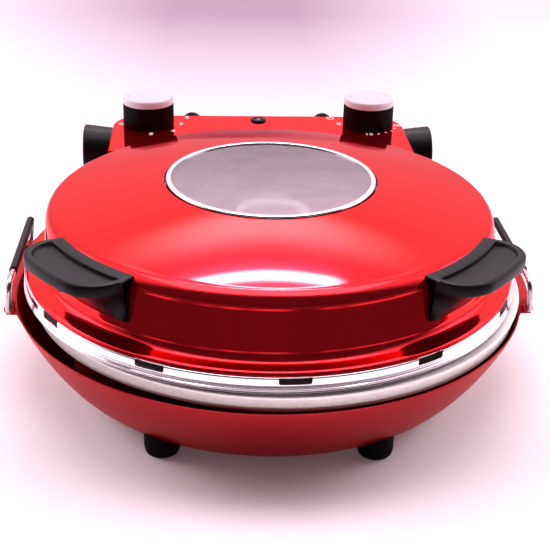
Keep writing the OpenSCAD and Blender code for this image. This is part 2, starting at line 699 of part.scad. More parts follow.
module handle_screws() {
    color("silver") on_axis() for (s = [-1, 1], e = [-1, 1])
        at_handle(s) rotate([0, 0, e * handle_screw_half])
            translate([wall_r(screw_z) - sheet_t - 0.6, 0, screw_z]) rotate([0, -90, 0])
                screw(handle_screw_in);
}

// ---------- control box ----------
function box_outline(inset) =
    let (w = box_w / 2 - inset, r = box_corner - inset, back = box_back - inset,
         front = box_front + inset)
    concat(arc([w - r, back - r], r, 0, 90, 10), arc([-w + r, back - r], r, 90, 180, 10),
           [[-w, front], [w, front]]);
module box_block(inset, z0, z1) {
    translate([0, 0, z0]) linear_extrude(z1 - z0) polygon(box_outline(inset));
}
// The box is cut back, with a curved front wall, where the dome passes in front of it
lid_room = 1;
ring_room = 1.6;
function over_path() = concat(dome_path(), [for (i = [1:8]) shoulder_path()[i]]);
module dome_room(more = 0) {
    ring_out = ring_r + 1.2 + ring_room + more;
    turned(concat(shifted(over_path(), lid_room + more),
        [[wall_foot[0] + lid_room + more, flange_z + 13 + more], [ring_out, flange_z + 7 + more],
         [ring_out, box_low - 9], [0, box_low - 9], [0, dome_z(hole_r) + lid_room + more]]));
}
inlet_x = box_w / 2 - 42.5;
inlet_z = box_low + 16;
inlet_r = 7;
inlet_t = 6;
post_r = 4;
box_screw_len = 13;
floor_t = 2;
module at_posts() {
    for (s = [-1, 1], y = [box_front + 41, box_back - 7 - post_r])
        translate([s * (box_w / 2 - 62), y, 0]) children();
}
module control_box() {
    color("red") on_axis() difference() {
        union() {
            difference() {
                box_block(0, box_low, box_top);
                difference() {
                    box_block(skin_t, box_low - 1, box_top - skin_t);
                    dome_room(skin_t);
                }
            }
            at_posts() translate([0, 0, box_low + floor_t + gap])
                cylinder(r = post_r, h = box_h - floor_t - gap - skin_t / 2);
        }
        dome_room();
        at_posts() translate([0, 0, box_low - 1]) cylinder(r = m4_r, h = box_screw_len + 2);
        back_holes(m4_r + gap);
        for (s = [-1, 1]) translate([s * knob_x, knob_y, box_top - 5])
            cylinder(r = 5.5, h = 10);
        translate([0, lamp_y, box_top - 5]) cylinder(r = lamp_r - 1.4, h = 10);
        for (s = [-1, 1]) translate([s * box_w / 2, hinge_y, hinge_z])
            rotate([0, -90 * s, 0]) translate([0, 0, -5]) cylinder(r = bush_r, h = 15);
        translate([inlet_x, box_back, inlet_z]) along_y()
            translate([0, 0, -10]) cylinder(r = inlet_r, h = 20);
    }
}
module box_floor() {
    color("dimgray") on_axis() difference() {
        box_block(skin_t + gap, box_low, box_low + floor_t);
        dome_room(skin_t + gap);
        at_posts() translate([0, 0, box_low - 1]) cylinder(r = m4_r + gap, h = 5);
    }
}
module box_screws() {
    color("silver") on_axis() at_posts() translate([0, 0, box_low]) mirror([0, 0, 1]) screw(box_screw_len);
}
// A stepped steel bracket carries the lid: its tab is bolted through the box to the lid's wall
bracket_w = 80;
bracket_t = 3;
bracket_front = wall_r(flange_z + 13) + lid_room + skin_t + 0.5;
bracket_step = 22;
shelf_z = flange_z + 15.5;
module lid_bracket() {
    low = box_low + floor_t;
    color("dimgray") on_axis() difference() {
        translate([-bracket_w / 2, bracket_front, 0]) union() {
            translate([0, 0, shelf_z]) cube([bracket_w, bracket_t, 14]);
            translate([0, 0, shelf_z]) cube([bracket_w, bracket_step, bracket_t]);
            translate([0, bracket_step - bracket_t, low])
                cube([bracket_w, bracket_t, shelf_z + bracket_t - low]);
            translate([0, bracket_step - bracket_t, low]) cube([bracket_w, 20, bracket_t]);
        }
        back_holes(m4_r + gap);
    }
}
lid_nut_y = bracket_front - 10.2;
module lid_bracket_bolts() {
    color("silver") on_axis() for (x = [-back_bolt_x, back_bolt_x]) translate([x, 0, back_bolt_z])
        along_y() {
            translate([0, 0, bracket_front + bracket_t]) screw(bracket_front + bracket_t - lid_nut_y + nut_t);
            translate([0, 0, lid_nut_y - nut_t]) cylinder(r = head_r, h = nut_t);
        }
}
bush_r = 7;
module hinge_bushes() {
    color("silver") on_axis() for (s = [-1, 1]) translate([s * box_w / 2, hinge_y, hinge_z])
        rotate([0, -90 * s, 0]) difference() {
            union() {
                cylinder(r = bush_r - gap, h = bush_len);
                translate([0, 0, bush_len - 2]) cylinder(r = bush_r + 1.5, h = 2);
            }
            translate([0, 0, -1]) cylinder(r = pin_r + run_gap, h = 12);
        }
}
// Thermostat and timer bodies hang from the box top by their bushings
body_top = box_top - skin_t;
control_h = 24;
module control_body(s) {
    translate([s * knob_x, knob_y, 0]) difference() {
        union() {
            translate([-17, -15, body_top - 3 - control_h]) cube([34, 30, control_h]);
            translate([0, 0, body_top - 3]) cylinder(r = 5.3, h = 3 + skin_t + 4);
        }
        translate([0, 0, body_top - 12]) cylinder(r = shaft_r + run_gap, h = 30);
    }
}
shaft_r = 3;
module thermostat() { color("ivory") on_axis() control_body(-1); }
module timer() { color("ivory") on_axis() control_body(1); }
module control_nuts() {
    color("silver") on_axis() for (s = [-1, 1]) translate([s * knob_x, knob_y, box_top + gap])
        nut(8, 5.3, 2.5);
}
module control_shaft(s) {
    color("silver") on_axis() translate([s * knob_x, knob_y, body_top - 11])
        cylinder(r = shaft_r, h = knob_top - cap_h - 2 - (body_top - 11));
}
knob_gap = 0.8;
knob_low = box_top + knob_gap;
knob_top = box_top + knob_h;
module knob_body(s) {
    h = knob_h - knob_gap - cap_h;
    translate([s * knob_x, knob_y, knob_low]) difference() {
        turned([[0, h], [0, 0], [knob_r - 1.2, 0], [knob_r, 1.5], [knob_r - 0.5, h]]);
        translate([0, 0, -1]) cylinder(r = 11, h = 6);
        translate([0, 0, -1]) cylinder(r = shaft_r, h = h - 1);
    }
}
module knob_cap(s) {
    c = 1.2;
    translate([s * knob_x, knob_y, knob_top - cap_h]) turned([[0, 0], [knob_r - 0.3, 0],
        [knob_r - 0.5, cap_h - c], [knob_r - 0.5 - c, cap_h], [0, cap_h]]);
}
module thermostat_knob() { color("black") on_axis() knob_body(-1); }
module timer_knob() { color("black") on_axis() knob_body(1); }
module thermostat_cap() { color("whitesmoke") on_axis() knob_cap(-1); }
module timer_cap() { color("whitesmoke") on_axis() knob_cap(1); }
module thermostat_shaft() { control_shaft(-1); }
module timer_shaft() { control_shaft(1); }
lamp_r = 7;
lamp_y = box_back - 14.5;
module lamp_bezel() {
    color("black") on_axis() translate([0, lamp_y, box_top]) difference() {
        union() {
            turned([[0, 0], [lamp_r, 0], [lamp_r - 0.8, 1.6], [0, 1.6]]);
            translate([0, 0, -8]) cylinder(r = lamp_r - 1.5, h = 8);
        }
        translate([0, 0, -9]) cylinder(r = 3, h = 20);
    }
}
module lamp_lens() {
    color("darkred") on_axis() translate([0, lamp_y, box_top - 10]) {
        cylinder(r = 3 - gap, h = 11);
        translate([0, 0, 11]) intersection() {
            cylinder(r = 3 - gap, h = 2);
            translate([0, 0, -3.5]) sphere(r = 4.6);
        }
    }
}
bumper_x = 59;
module rear_bumpers() {
    color("black") on_axis() for (s = [-1, 1]) translate([s * bumper_x, box_back, box_top - 9])
        along_y() turned(concat([[0, 0], [bumper_r, 0]],
            arc([bumper_r - 4, bumper_len - 4], 4, 0, 90, 5), [[0, bumper_len]]));
}
module terminal_block() {
    color("ivory") on_axis() translate([box_w / 2 - 81.5, box_back - 42, box_low + floor_t]) difference() {
        cube([32, 14, 12]);
        for (i = [0:3]) translate([4 + i * 8, 7, 4]) cylinder(r = 2, h = 12);
    }
}
module cord_inlet() {
    color("black") on_axis() translate([inlet_x, box_back, inlet_z]) along_y() difference() {
        union() {
            turned([[0, 0], [inlet_r + 3, 0], [inlet_r + 2, 3.5], [0, 3.5]]);
            translate([0, 0, -inlet_t]) cylinder(r = inlet_r - gap, h = inlet_t);
        }
        translate([0, 0, -inlet_t - 1]) cylinder(r = inlet_r / 2, h = 2 * inlet_t);
    }
}

base_bowl();
feet();
foot_screws();
inner_pan();
pan_spacers();
pan_screws();
pan_nuts();
lower_element();
lower_element_clips();
baking_stone();
hinge_bracket();
bracket_spacers();
bracket_bolts();
hinge_knuckle(-1);  // hinge_knuckle_left
hinge_knuckle(1);  // hinge_knuckle_right
hinge_pin(-1);  // hinge_pin_left
hinge_pin(1);  // hinge_pin_right
side_lug(-1);  // side_lug_left
side_lug(1);  // side_lug_right
lug_rivets();
bail_wire(-1);  // bail_wire_left
bail_wire(1);  // bail_wire_right
bail_sleeve(-1);  // bail_sleeve_left
bail_sleeve(1);  // bail_sleeve_right
lid_shell();
lid_ring();
lid_reflector();
lid_screws();
window_bezel();
window_glass();
window_gasket();
window_retainer();
window_screws();
upper_element();
upper_element_clips();
handle(-1);  // handle_left
handle(1);  // handle_right
handle_screws();
control_box();
box_floor();
box_screws();
lid_bracket();
lid_bracket_bolts();
hinge_bushes();
thermostat();
timer();
control_nuts();
terminal_block();
thermostat_knob();
thermostat_cap();
timer_knob();
timer_cap();
thermostat_shaft();
timer_shaft();
lamp_bezel();
lamp_lens();
rear_bumpers();
cord_inlet();
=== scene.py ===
# %% [markdown]
# # A round pizza maker, dressed for a studio photograph
# The measured model comes in as a fixed frame. Every visible pressing and moulding is then drawn
# again with rounder edges, and each piece gets a material that starts from what the real one is.

# %% Load the frame
import json
import math

import bmesh
import bpy
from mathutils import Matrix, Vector


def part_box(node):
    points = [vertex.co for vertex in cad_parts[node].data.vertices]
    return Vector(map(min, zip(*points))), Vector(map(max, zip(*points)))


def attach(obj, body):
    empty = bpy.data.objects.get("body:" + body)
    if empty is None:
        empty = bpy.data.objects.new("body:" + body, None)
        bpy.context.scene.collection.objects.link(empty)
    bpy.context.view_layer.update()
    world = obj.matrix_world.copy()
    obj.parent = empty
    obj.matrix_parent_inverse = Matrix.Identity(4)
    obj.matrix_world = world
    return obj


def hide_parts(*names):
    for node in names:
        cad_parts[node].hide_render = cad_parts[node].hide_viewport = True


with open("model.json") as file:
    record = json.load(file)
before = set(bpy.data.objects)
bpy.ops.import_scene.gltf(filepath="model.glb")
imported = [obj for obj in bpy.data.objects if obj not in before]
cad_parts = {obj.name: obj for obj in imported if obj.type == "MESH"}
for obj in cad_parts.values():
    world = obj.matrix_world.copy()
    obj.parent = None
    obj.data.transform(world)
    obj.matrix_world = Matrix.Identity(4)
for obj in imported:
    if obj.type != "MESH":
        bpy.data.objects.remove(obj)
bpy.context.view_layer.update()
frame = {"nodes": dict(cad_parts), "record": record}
nodes = frame["nodes"]
MM = 0.001
lid_low, lid_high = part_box("lid_shell")
AXIS_Y = round((lid_low.y + lid_high.y) / 2 / MM, 2)  # the cooking axis, in front of the frame's origin

# %% [markdown]
# ## Camera
# The photograph was taken from a little above, with a short telephoto. Its place and lens were
# solved from the ellipses of the lid, the window and the ring.

# %% Camera
lens = bpy.data.cameras.new("camera")
lens.sensor_width = 36
lens.lens = 77.9
camera = bpy.data.objects.new("camera", lens)
bpy.context.scene.collection.objects.link(camera)
aim = Vector((0.0572, 0.9004, -0.4313)).normalized()
turn = aim.to_track_quat("-Z", "Y").to_matrix().to_4x4()
camera.location = (-0.0459, AXIS_Y * MM - 0.7957, 0.4533)
camera.rotation_euler = turn.to_euler()
camera.rotation_euler.rotate_axis("Z", 0.0261)
bpy.context.scene.camera = camera
print("camera looks along", [round(a, 3) for a in aim])


# %% [markdown]
# ## Helpers for materials
# Colours are written as sRGB hex, as a paint maker gives them, and turned to linear values here.
# One function adds a node with its settings and its links.

# %% Colour and node helpers
def linear(code, alpha=1.0):
    """sRGB hex to a linear RGBA colour."""
    parts = [int(code[i:i + 2], 16) / 255 for i in (1, 3, 5)]
    return tuple(c / 12.92 if c <= 0.04045 else ((c + 0.055) / 1.055) ** 2.4 for c in parts) + (alpha,)


def add(tree, kind, sockets=None, **settings):
    """A node with its settings; a socket takes a value or another node's output."""
    made = tree.nodes.new(kind)
    for name, value in settings.items():
        setattr(made, name, value)
    for name, value in (sockets or {}).items():
        if isinstance(value, bpy.types.NodeSocket):
            tree.links.new(value, made.inputs[name])
        else:
            made.inputs[name].default_value = value
    return made


def new_material(name):
    """An empty material and its node tree."""
    made = bpy.data.materials.new(name)
    made.use_nodes = True
    made.node_tree.nodes.clear()
    return made, made.node_tree


def close(tree, shader):
    """Ends a material in its output node."""
    add(tree, "ShaderNodeOutputMaterial", {"Surface": shader.outputs[0]})


def per_mm(size):
    """The scale of a pattern whose features are this many millimetres apart."""
    return 1 / (size * MM)


def grain(tree, size, detail=3.0, stretch=(1, 1, 1)):
    """Noise with features of a size in millimetres, drawn in the object's own space."""
    place = add(tree, "ShaderNodeTexCoord")
    stretched = add(tree, "ShaderNodeMapping", {"Vector": place.outputs["Object"], "Scale": stretch})
    return add(tree, "ShaderNodeTexNoise",
               {"Vector": stretched.outputs[0], "Scale": per_mm(size), "Detail": detail})


def between(tree, factor, low, high, span=(0.35, 0.65)):
    """A number that follows a pattern from low to high."""
    return add(tree, "ShaderNodeMapRange", {"Value": factor, "From Min": span[0], "From Max": span[1],
                                            "To Min": low, "To Max": high}).outputs["Result"]


def tint(tree, factor, first, second, span=(0.35, 0.65)):
    """A colour that follows a pattern from the first hex value to the second."""
    ramp = add(tree, "ShaderNodeValToRGB", {"Fac": factor})
    ramp.color_ramp.elements[0].position, ramp.color_ramp.elements[1].position = span
    ramp.color_ramp.elements[0].color = linear(first)
    ramp.color_ramp.elements[1].color = linear(second)
    return ramp.outputs["Color"]


def bumps(tree, height, depth, strength=1.0):
    """Relief of a depth in millimetres."""
    return add(tree, "ShaderNodeBump",
               {"Height": height, "Distance": depth * MM, "Strength": strength}).outputs["Normal"]


# %% [markdown]
# ## The red lacquer of the lid
# A candy finish: a clear red lacquer baked over bright, finely flaked metal. The eye sees the room
# twice, once softly and in red in the flakes, and once sharply and in white in the clear coat. So
# the material is a red metal under a thin coat, with a red tint that keeps it from going white at a
# low angle, because the light still has to pass through the lacquer there. The flakes are about
# 0.05 mm in life and are drawn at 0.6 mm, which is as fine as they need to be to show at all.
#
# The bowl has the same lacquer, duller, and its red is painted darker to stand for the shade it
# sits in below the lid. The box is ABS, metallised and dyed red, with a smoother face than the steel's.

# %% Red lacquers
def candy_lacquer(name, red, deep, roughness, coat, coat_roughness):
    mat, tree = new_material(name)
    flakes = grain(tree, 0.6, 2)
    shader = add(tree, "ShaderNodeBsdfPrincipled", {
        "Base Color": tint(tree, flakes.outputs["Fac"], deep, red),
        "Metallic": 0.95, "Specular Tint": linear("#ff3a3e"),
        "Roughness": between(tree, flakes.outputs["Fac"], roughness * 0.92, roughness * 1.08),
        "Coat Weight": coat, "Coat Roughness": coat_roughness, "Coat IOR": 1.5})
    close(tree, shader)
    return mat


lid_lacquer = candy_lacquer("candy lacquer, lid", "#f5202a", "#f11e28", 0.11, 0.36, 0.03)
# The bowl's darker red is painted shade: the lid's lacquer made darker, not a different paint.
shaded_bowl_lacquer = candy_lacquer("candy lacquer, bowl, painted darker as shade", "#a80e1a", "#9c0c18", 0.40, 0.35, 0.24)
box_lacquer = candy_lacquer("metallised red ABS", "#f41c28", "#f01a26", 0.07, 0.3, 0.03)
print("lacquers:", lid_lacquer.name, "/", shaded_bowl_lacquer.name, "/", box_lacquer.name)


# %% [markdown]
# ## Bright metals
# The lower ring and the bezel are stainless steel, polished until they mirror the floor. The pan is
# pressed from aluminised steel: its satin coat scatters most of the light, so it is mixed as one
# third metal and two thirds matt, and looks white from all sides. Fine wiping marks, about 3 mm
# apart, show in the colour and the roughness of all of them. The heaters' sheaths are steel too,
# and the lining of the lid is aluminium, spun on a lathe.

# %% Metals
def bright_steel(name, colour, dull, roughness, metallic=1.0):
    mat, tree = new_material(name)
    marks = grain(tree, 3, 4)
    shader = add(tree, "ShaderNodeBsdfPrincipled", {
        "Base Color": tint(tree, marks.outputs["Fac"], dull, colour, (0.3, 0.55)),
        "Metallic": metallic,
        "Roughness": between(tree, marks.outputs["Fac"], roughness * 0.85, roughness * 1.2)})
    close(tree, shader)
    return mat


ring_steel = bright_steel("bright stainless, ring", "#fbf6f9", "#f6f0f4", 0.07)
pan_steel = bright_steel("aluminised steel, pan", "#fbf5f3", "#f4eceb", 0.45, metallic=0.35)
bezel_steel = bright_steel("bright stainless, bezel", "#f8f4f6", "#f0eaee", 0.08)
wire_steel = bright_steel("drawn steel wire", "#cfc8cb", "#b5adb0", 0.22)
zinc_steel = bright_steel("zinc plated steel", "#c9c7c4", "#aeaca9", 0.3)


def spun_aluminium(name, light, dark, roughness):
    """Spinning leaves rings of fine grooves, about 1 mm apart here."""
    mat, tree = new_material(name)
    place = add(tree, "ShaderNodeTexCoord")
    centred = add(tree, "ShaderNodeMapping", {"Vector": place.outputs["Object"],
                                              "Location": (0, -AXIS_Y * MM, 0)})
    rings = add(tree, "ShaderNodeTexWave", {"Vector": centred.outputs[0], "Scale": per_mm(1) / 20,
                                            "Distortion": 0.6, "Detail": 2.0},
                wave_type="RINGS", rings_direction="Z")
    shader = add(tree, "ShaderNodeBsdfPrincipled", {
        "Base Color": tint(tree, rings.outputs["Fac"], dark, light, (0.2, 0.8)),
        "Metallic": 1.0, "Roughness": roughness,
        "Normal": bumps(tree, rings.outputs["Fac"], 0.02, 0.4)})
    close(tree, shader)
    return mat


reflector_aluminium = spun_aluminium("spun aluminium", "#d8d2d6", "#bdb6bb", 0.34)


def element_sheath():
    """The heater's steel sheath is oxidised to a dull grey-brown by its first heating."""
    mat, tree = new_material("oxidised heater sheath")
    scale = grain(tree, 6, 4)
    shader = add(tree, "ShaderNodeBsdfPrincipled", {
        "Base Color": tint(tree, scale.outputs["Fac"], "#3a3431", "#5a524c"),
        "Metallic": 0.7, "Roughness": between(tree, scale.outputs["Fac"], 0.45, 0.7),
        "Normal": bumps(tree, scale.outputs["Fac"], 0.05, 0.5)})
    close(tree, shader)
    return mat


sheath_steel = element_sheath()


# %% [markdown]
# ## Plastics, rubber, stone and glass
# Handles and hinge drums are black phenolic: hard, satin, with the faint pebble of a spark-eroded
# mould (0.4 mm). The knobs are ABS with pale caps. Feet and bumpers are moulded rubber, which gives
# back so little light that it reads as plain black.

# %% Plastics and rubber
def moulded(name, colour, other, roughness, pebble, depth, coat=0.0, specular=0.5):
    mat, tree = new_material(name)
    texture = grain(tree, pebble, 2)
    cloud = grain(tree, 25, 2)
    shader = add(tree, "ShaderNodeBsdfPrincipled", {
        "Base Color": tint(tree, cloud.outputs["Fac"], colour, other),
        "Roughness": between(tree, texture.outputs["Fac"], roughness * 0.9, roughness * 1.12),
        "Normal": bumps(tree, texture.outputs["Fac"], depth, 0.4),
        "IOR": 1.5, "Coat Weight": coat, "Coat Roughness": 0.1, "Specular IOR Level": specular})
    close(tree, shader)
    return mat


phenolic = moulded("black phenolic", "#050405", "#080607", 0.38, 0.4, 0.015, specular=0.16)
knob_abs = moulded("black ABS, knob", "#020202", "#040304", 0.45, 0.5, 0.005, specular=0.1)
cap_abs = moulded("white ABS, cap", "#cdc1c8", "#c6bac1", 0.3, 0.8, 0.005)
rubber = moulded("black rubber", "#020202", "#040304", 0.7, 0.5, 0.03, specular=0.08)
grey_pp = moulded("grey polypropylene", "#38383a", "#404042", 0.5, 0.6, 0.02)
ivory_urea = moulded("ivory urea resin", "#d9d2bd", "#e2dcc9", 0.4, 0.7, 0.01)
black_steel = moulded("black stoved steel", "#141214", "#1b181a", 0.45, 0.9, 0.02)
silicone = moulded("white silicone", "#cfcac8", "#c4bebc", 0.5, 0.9, 0.01)
lamp_abs = moulded("smoked lamp lens", "#4a141b", "#571a22", 0.3, 0.8, 0.004, coat=0.2)
ink = moulded("white printing ink", "#fbe6ec", "#f6dde5", 0.5, 0.8, 0.002)
grey_ink = moulded("grey printing ink", "#8f868c", "#857c82", 0.5, 0.8, 0.002)


# %% [markdown]
# ## Stone and glass
# The stone is pressed cordierite, a sandy ceramic with flour rubbed into it. The window is clear
# toughened glass, but after some baking its inner face carries a film of dust. The film is made
# thicker towards the front of the window, as a painted sheen for the brighter reflection there.

# %% Refractory stone and window glass
def cordierite():
    """Pressed refractory: sandy body with darker grains of 1 to 2 mm and small open pores."""
    mat, tree = new_material("cordierite stone")
    sand = grain(tree, 1.5, 4)
    flour = grain(tree, 40, 3)
    base = add(tree, "ShaderNodeMix", {
        "Factor": between(tree, flour.outputs["Fac"], 0.0, 0.5),
        "A": tint(tree, sand.outputs["Fac"], "#a99c90", "#c9bdb2", (0.4, 0.6)),
        "B": linear("#d6cbc2")}, data_type="RGBA")
    shader = add(tree, "ShaderNodeBsdfPrincipled", {
        "Roughness": 0.85, "Normal": bumps(tree, sand.outputs["Fac"], 0.15, 0.6)})
    tree.links.new(base.outputs[2], shader.inputs["Base Color"])
    close(tree, shader)
    return mat


stone = cordierite()
WINDOW_R = 75  # outer radius of the window's bezel


def window_pane():
    """Toughened soda-lime glass: mirror-like at a low angle, with a haze of baking dust under it that
    thickens towards the front as a painted sheen.
    """
    mat, tree = new_material("toughened glass")
    smears = grain(tree, 18, 3)
    place = add(tree, "ShaderNodeTexCoord")
    along = add(tree, "ShaderNodeSeparateXYZ", {"Vector": place.outputs["Object"]})
    front, rear = (AXIS_Y - WINDOW_R) * MM, (AXIS_Y + WINDOW_R) * MM
    # The film's share grows from the rear of the pane to the front: a painted sheen, with a little random
    # dust on top.
    dust_and_painted_sheen = add(tree, "ShaderNodeMath", {
        0: between(tree, smears.outputs["Fac"], -0.03, 0.03),
        1: between(tree, along.outputs["Y"], 0.46, 0.10, (front, rear))}, operation="ADD")
    edge = add(tree, "ShaderNodeFresnel", {"IOR": 1.52})
    mirror = add(tree, "ShaderNodeBsdfGlossy", {
        "Color": (1, 1, 1, 1), "Roughness": between(tree, smears.outputs["Fac"], 0.01, 0.06)})
    through = add(tree, "ShaderNodeBsdfTransparent", {"Color": linear("#dcd3da")})
    film = add(tree, "ShaderNodeBsdfDiffuse", {"Color": linear("#e2c0d0")})
    clear = add(tree, "ShaderNodeMixShader", {"Fac": dust_and_painted_sheen.outputs[0],
                                              1: through.outputs[0], 2: film.outputs[0]})
    shader = add(tree, "ShaderNodeMixShader", {"Fac": edge.outputs[0],
                                               1: clear.outputs[0], 2: mirror.outputs[0]})
    close(tree, shader)
    return mat


glass = window_pane()
print("materials:", len(bpy.data.materials))


# %% [markdown]
# ## Helpers for shapes
# Most pieces are pressings or mouldings that are round about the cooking axis, so the main tool is
# a lathe. Corners are rounded in the profile itself, because bright edges are what the eye reads.

# %% Shape helpers
def link(name, mesh, material, body, replaced=(), corner=35):
    """A mesh becomes a piece: smooth shading with crisp corners, a material and a body to ride on."""
    mesh.shade_smooth()
    mesh.set_sharp_from_angle(angle=math.radians(corner))
    made = bpy.data.objects.new(name, mesh)
    bpy.context.scene.collection.objects.link(made)
    mesh.materials.append(material)
    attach(made, body)
    if replaced:
        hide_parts(*replaced)
    return made


def mesh_from(name, points, faces):
    """A mesh from points in millimetres, with all its faces turned outwards."""
    mesh = bpy.data.meshes.new(name)
    mesh.from_pydata([[c * MM for c in p] for p in points], [], faces)
    mesh.validate()
    shape = bmesh.new()
    shape.from_mesh(mesh)
    bmesh.ops.recalc_face_normals(shape, faces=shape.faces)
    shape.to_mesh(mesh)
    shape.free()
    mesh.update()
    return mesh


def rounded(corners, steps=5, closed=True):
    """A profile whose corners (r, z, fillet) are replaced by small arcs.

    A point on the straight run beside each arc keeps the flat face next to it shaded flat.
    """
    path = []
    count = len(corners)
    for i, corner in enumerate(corners):
        here = Vector(corner[:2])
        size = corner[2] if len(corner) > 2 else 0
        if size <= 0 or (not closed and i in (0, count - 1)):
            path.append(tuple(here))
            continue
        back = (Vector(corners[i - 1][:2]) - here)
        on = (Vector(corners[(i + 1) % count][:2]) - here)
        size = min(size, back.length * 0.49, on.length * 0.49)
        a, b = here + back.normalized() * size, here + on.normalized() * size
        room = 0.6
        if back.length > 2.2 * (size + room):
            path.append(tuple(a + back.normalized() * room))
        for k in range(steps + 1):
            t = k / steps
            path.append(tuple((1 - t) ** 2 * a + 2 * t * (1 - t) * here + t * t * b))
        if on.length > 2.2 * (size + room):
            path.append(tuple(b + on.normalized() * room))
    return path


def lathe(name, profile, centre=(0, AXIS_Y), steps=240, rib=0.0, rib_from=0.0):
    """Turns a closed profile of (r, z) in millimetres about an upright axis.

    Points farther out than rib_from go in and out by the rib's depth, every other pair of steps.
    """
    points, faces, rings = [], [], []
    for r, z in profile:
        if r < 0.01:
            rings.append([len(points)] * steps)
            points.append((centre[0], centre[1], z))
        else:
            rings.append(list(range(len(points), len(points) + steps)))
            for k in range(steps):
                out = r - (rib if r > rib_from and k % 4 > 1 else 0)
                points.append((centre[0] + out * math.cos(2 * math.pi * k / steps),
                               centre[1] + out * math.sin(2 * math.pi * k / steps), z))
    for i, low in enumerate(rings):
        high = rings[(i + 1) % len(rings)]
        for k in range(steps):
            face = [low[k], low[(k + 1) % steps], high[(k + 1) % steps], high[k]]
            face = [v for j, v in enumerate(face) if v not in face[:j]]
            if len(face) > 2:
                faces.append(face)
    return mesh_from(name, points, faces)


def along_x(mesh, place, side=1):
    """Lays a turned mesh over, so that its axis runs sideways from a place in millimetres."""
    for v in mesh.vertices:
        x, y, z = v.co
        v.co = (place[0] * MM + side * z, place[1] * MM + y, place[2] * MM - side * x)
    mesh.update()
    return mesh


def along_y(mesh, place):
    """Lays a turned mesh over, so that its axis runs to the back from a place in millimetres."""
    for v in mesh.vertices:
        x, y, z = v.co
        v.co = (place[0] * MM + x, place[1] * MM + z, place[2] * MM - y)
    mesh.update()
    return mesh


def loft(name, loops, caps=(True, True)):
    """Joins loops with equal numbers of points, and closes the ends."""
    points = [p for loop in loops for p in loop]
    count = len(loops[0])
    faces = [[i * count + k, i * count + (k + 1) % count, (i + 1) * count + (k + 1) % count,
              (i + 1) * count + k] for i in range(len(loops) - 1) for k in range(count)]
    if caps[0]:
        faces.append(list(range(count))[::-1])
    if caps[1]:
        faces.append([(len(loops) - 1) * count + k for k in range(count)])
    return mesh_from(name, points, faces)


def bezier(a, b, c, steps):
    return [tuple((1 - t) ** 2 * p + 2 * t * (1 - t) * q + t * t * s for p, q, s in zip(a, b, c))
            for t in [k / steps for k in range(steps + 1)]]


def offset(path, distance):
    """The same path moved sideways, to the left of its direction."""
    moved = []
    for i, (r, z) in enumerate(path):
        a, b = path[max(i - 1, 0)], path[min(i + 1, len(path) - 1)]
        d = Vector((b[0] - a[0], b[1] - a[1])).normalized()
        moved.append((r - d.y * distance, z + d.x * distance))
    return moved


def sheet(path, thickness):
    """A closed profile of pressed sheet whose outer face follows the path."""
    return path + offset(path, thickness)[::-1]


# %% [markdown]
# ## Lid
# One deep drawing in 1.2 mm steel: a shallow dome, a tight shoulder, an upright wall, and a flange
# that sweeps out to the ring. The outline is measured from the photograph, so the highlights fall
# where they do there.

# %% Lid shell
HOLE_R, SHOULDER_R = 76.2, 150.5  # where the dome starts at the window and ends at the shoulder


def dome(r):
    """Height of the dome's outer face at a radius from the cooking axis."""
    return 132.8 + 23.4 * (1 - (r / 159) ** 1.56)


def lid_outline():
    radii = [HOLE_R + (SHOULDER_R - HOLE_R) * k / 40 for k in range(41)]
    top = [(r, dome(r)) for r in radii]
    shoulder = bezier(top[-1], (160.3, dome(SHOULDER_R) - 1.2), (160.3, 122), 16)[1:]
    flange = bezier((163, 98.5), (163.5, 92.6), (168.5, 91.6), 10)
    edge = bezier((172.8, 90.9), (176, 90.4), (176, 88), 8)
    return top + shoulder + flange + edge


link("lid_shell_skin", lathe("lid_shell_skin", sheet(lid_outline(), -1.2), steps=360),
     lid_lacquer, "lid", ["lid_shell"], corner=60)
print("lid outline:", len(lid_outline()), "points")

# %% [markdown]
# ## Lower ring
# A bright band under the flange, rolled with thin beads, and punched from its top edge with a row
# of vent slots. The slots are cut by a boolean from twelve small plugs, as the punch does it.

# %% Lower ring
ring_profile = rounded([
    (161.8, 87.7), (176.8, 87.7, 1), (176.8, 82.2, 0.3), (176.0, 81.4, 0.3), (177.1, 80.7, 0.4),
    (176.4, 79.9, 0.3), (177.8, 79.2, 0.5), (177.2, 78.3, 0.3), (178.0, 77.5, 0.4), (177.2, 77.0, 0.2),
    (176.3, 77.0), (175.9, 81.0), (175.8, 86.2, 0.5), (161.8, 86.7)], 3)
ring = link("lid_ring_band", lathe("lid_ring_band", ring_profile, steps=360), ring_steel,
            "lid", ["lid_ring"], corner=50)
SLOTS, FIRST_SLOT = 12, -87.5  # how many, and the first one's angle
SLOT_HALF, SLOT_CORNER, SLOT_FLOOR, SLOT_TOP = 10.25, 1.6, 82.9, 88.1
plugs_points, plugs_faces = [], []
corner = [math.radians(-90 + 15 * k) for k in range(7)]
right = [(SLOT_HALF - SLOT_CORNER * (1 - math.cos(a)), SLOT_FLOOR + SLOT_CORNER * (1 + math.sin(a)))
         for a in corner] + [(SLOT_HALF, SLOT_TOP)]
outline = right + [(-x, z) for x, z in right[::-1]]
for n in range(SLOTS):
    middle = math.radians(FIRST_SLOT + 360 / SLOTS * n)
    base = len(plugs_points)
    for r in (173.5, 182):
        for x, z in outline:
            plugs_points.append((r * math.cos(middle) - x * math.sin(middle),
                                 AXIS_Y + r * math.sin(middle) + x * math.cos(middle), z))
    m = len(outline)
    plugs_faces += [[base + k, base + (k + 1) % m, base + m + (k + 1) % m, base + m + k]
                    for k in range(m)]
    plugs_faces += [[base + k for k in range(m)][::-1], [base + m + k for k in range(m)]]
plugs = bpy.data.objects.new("slot_plugs", mesh_from("slot_plugs", plugs_points, plugs_faces))
bpy.context.scene.collection.objects.link(plugs)
cut = ring.modifiers.new("slots", "BOOLEAN")
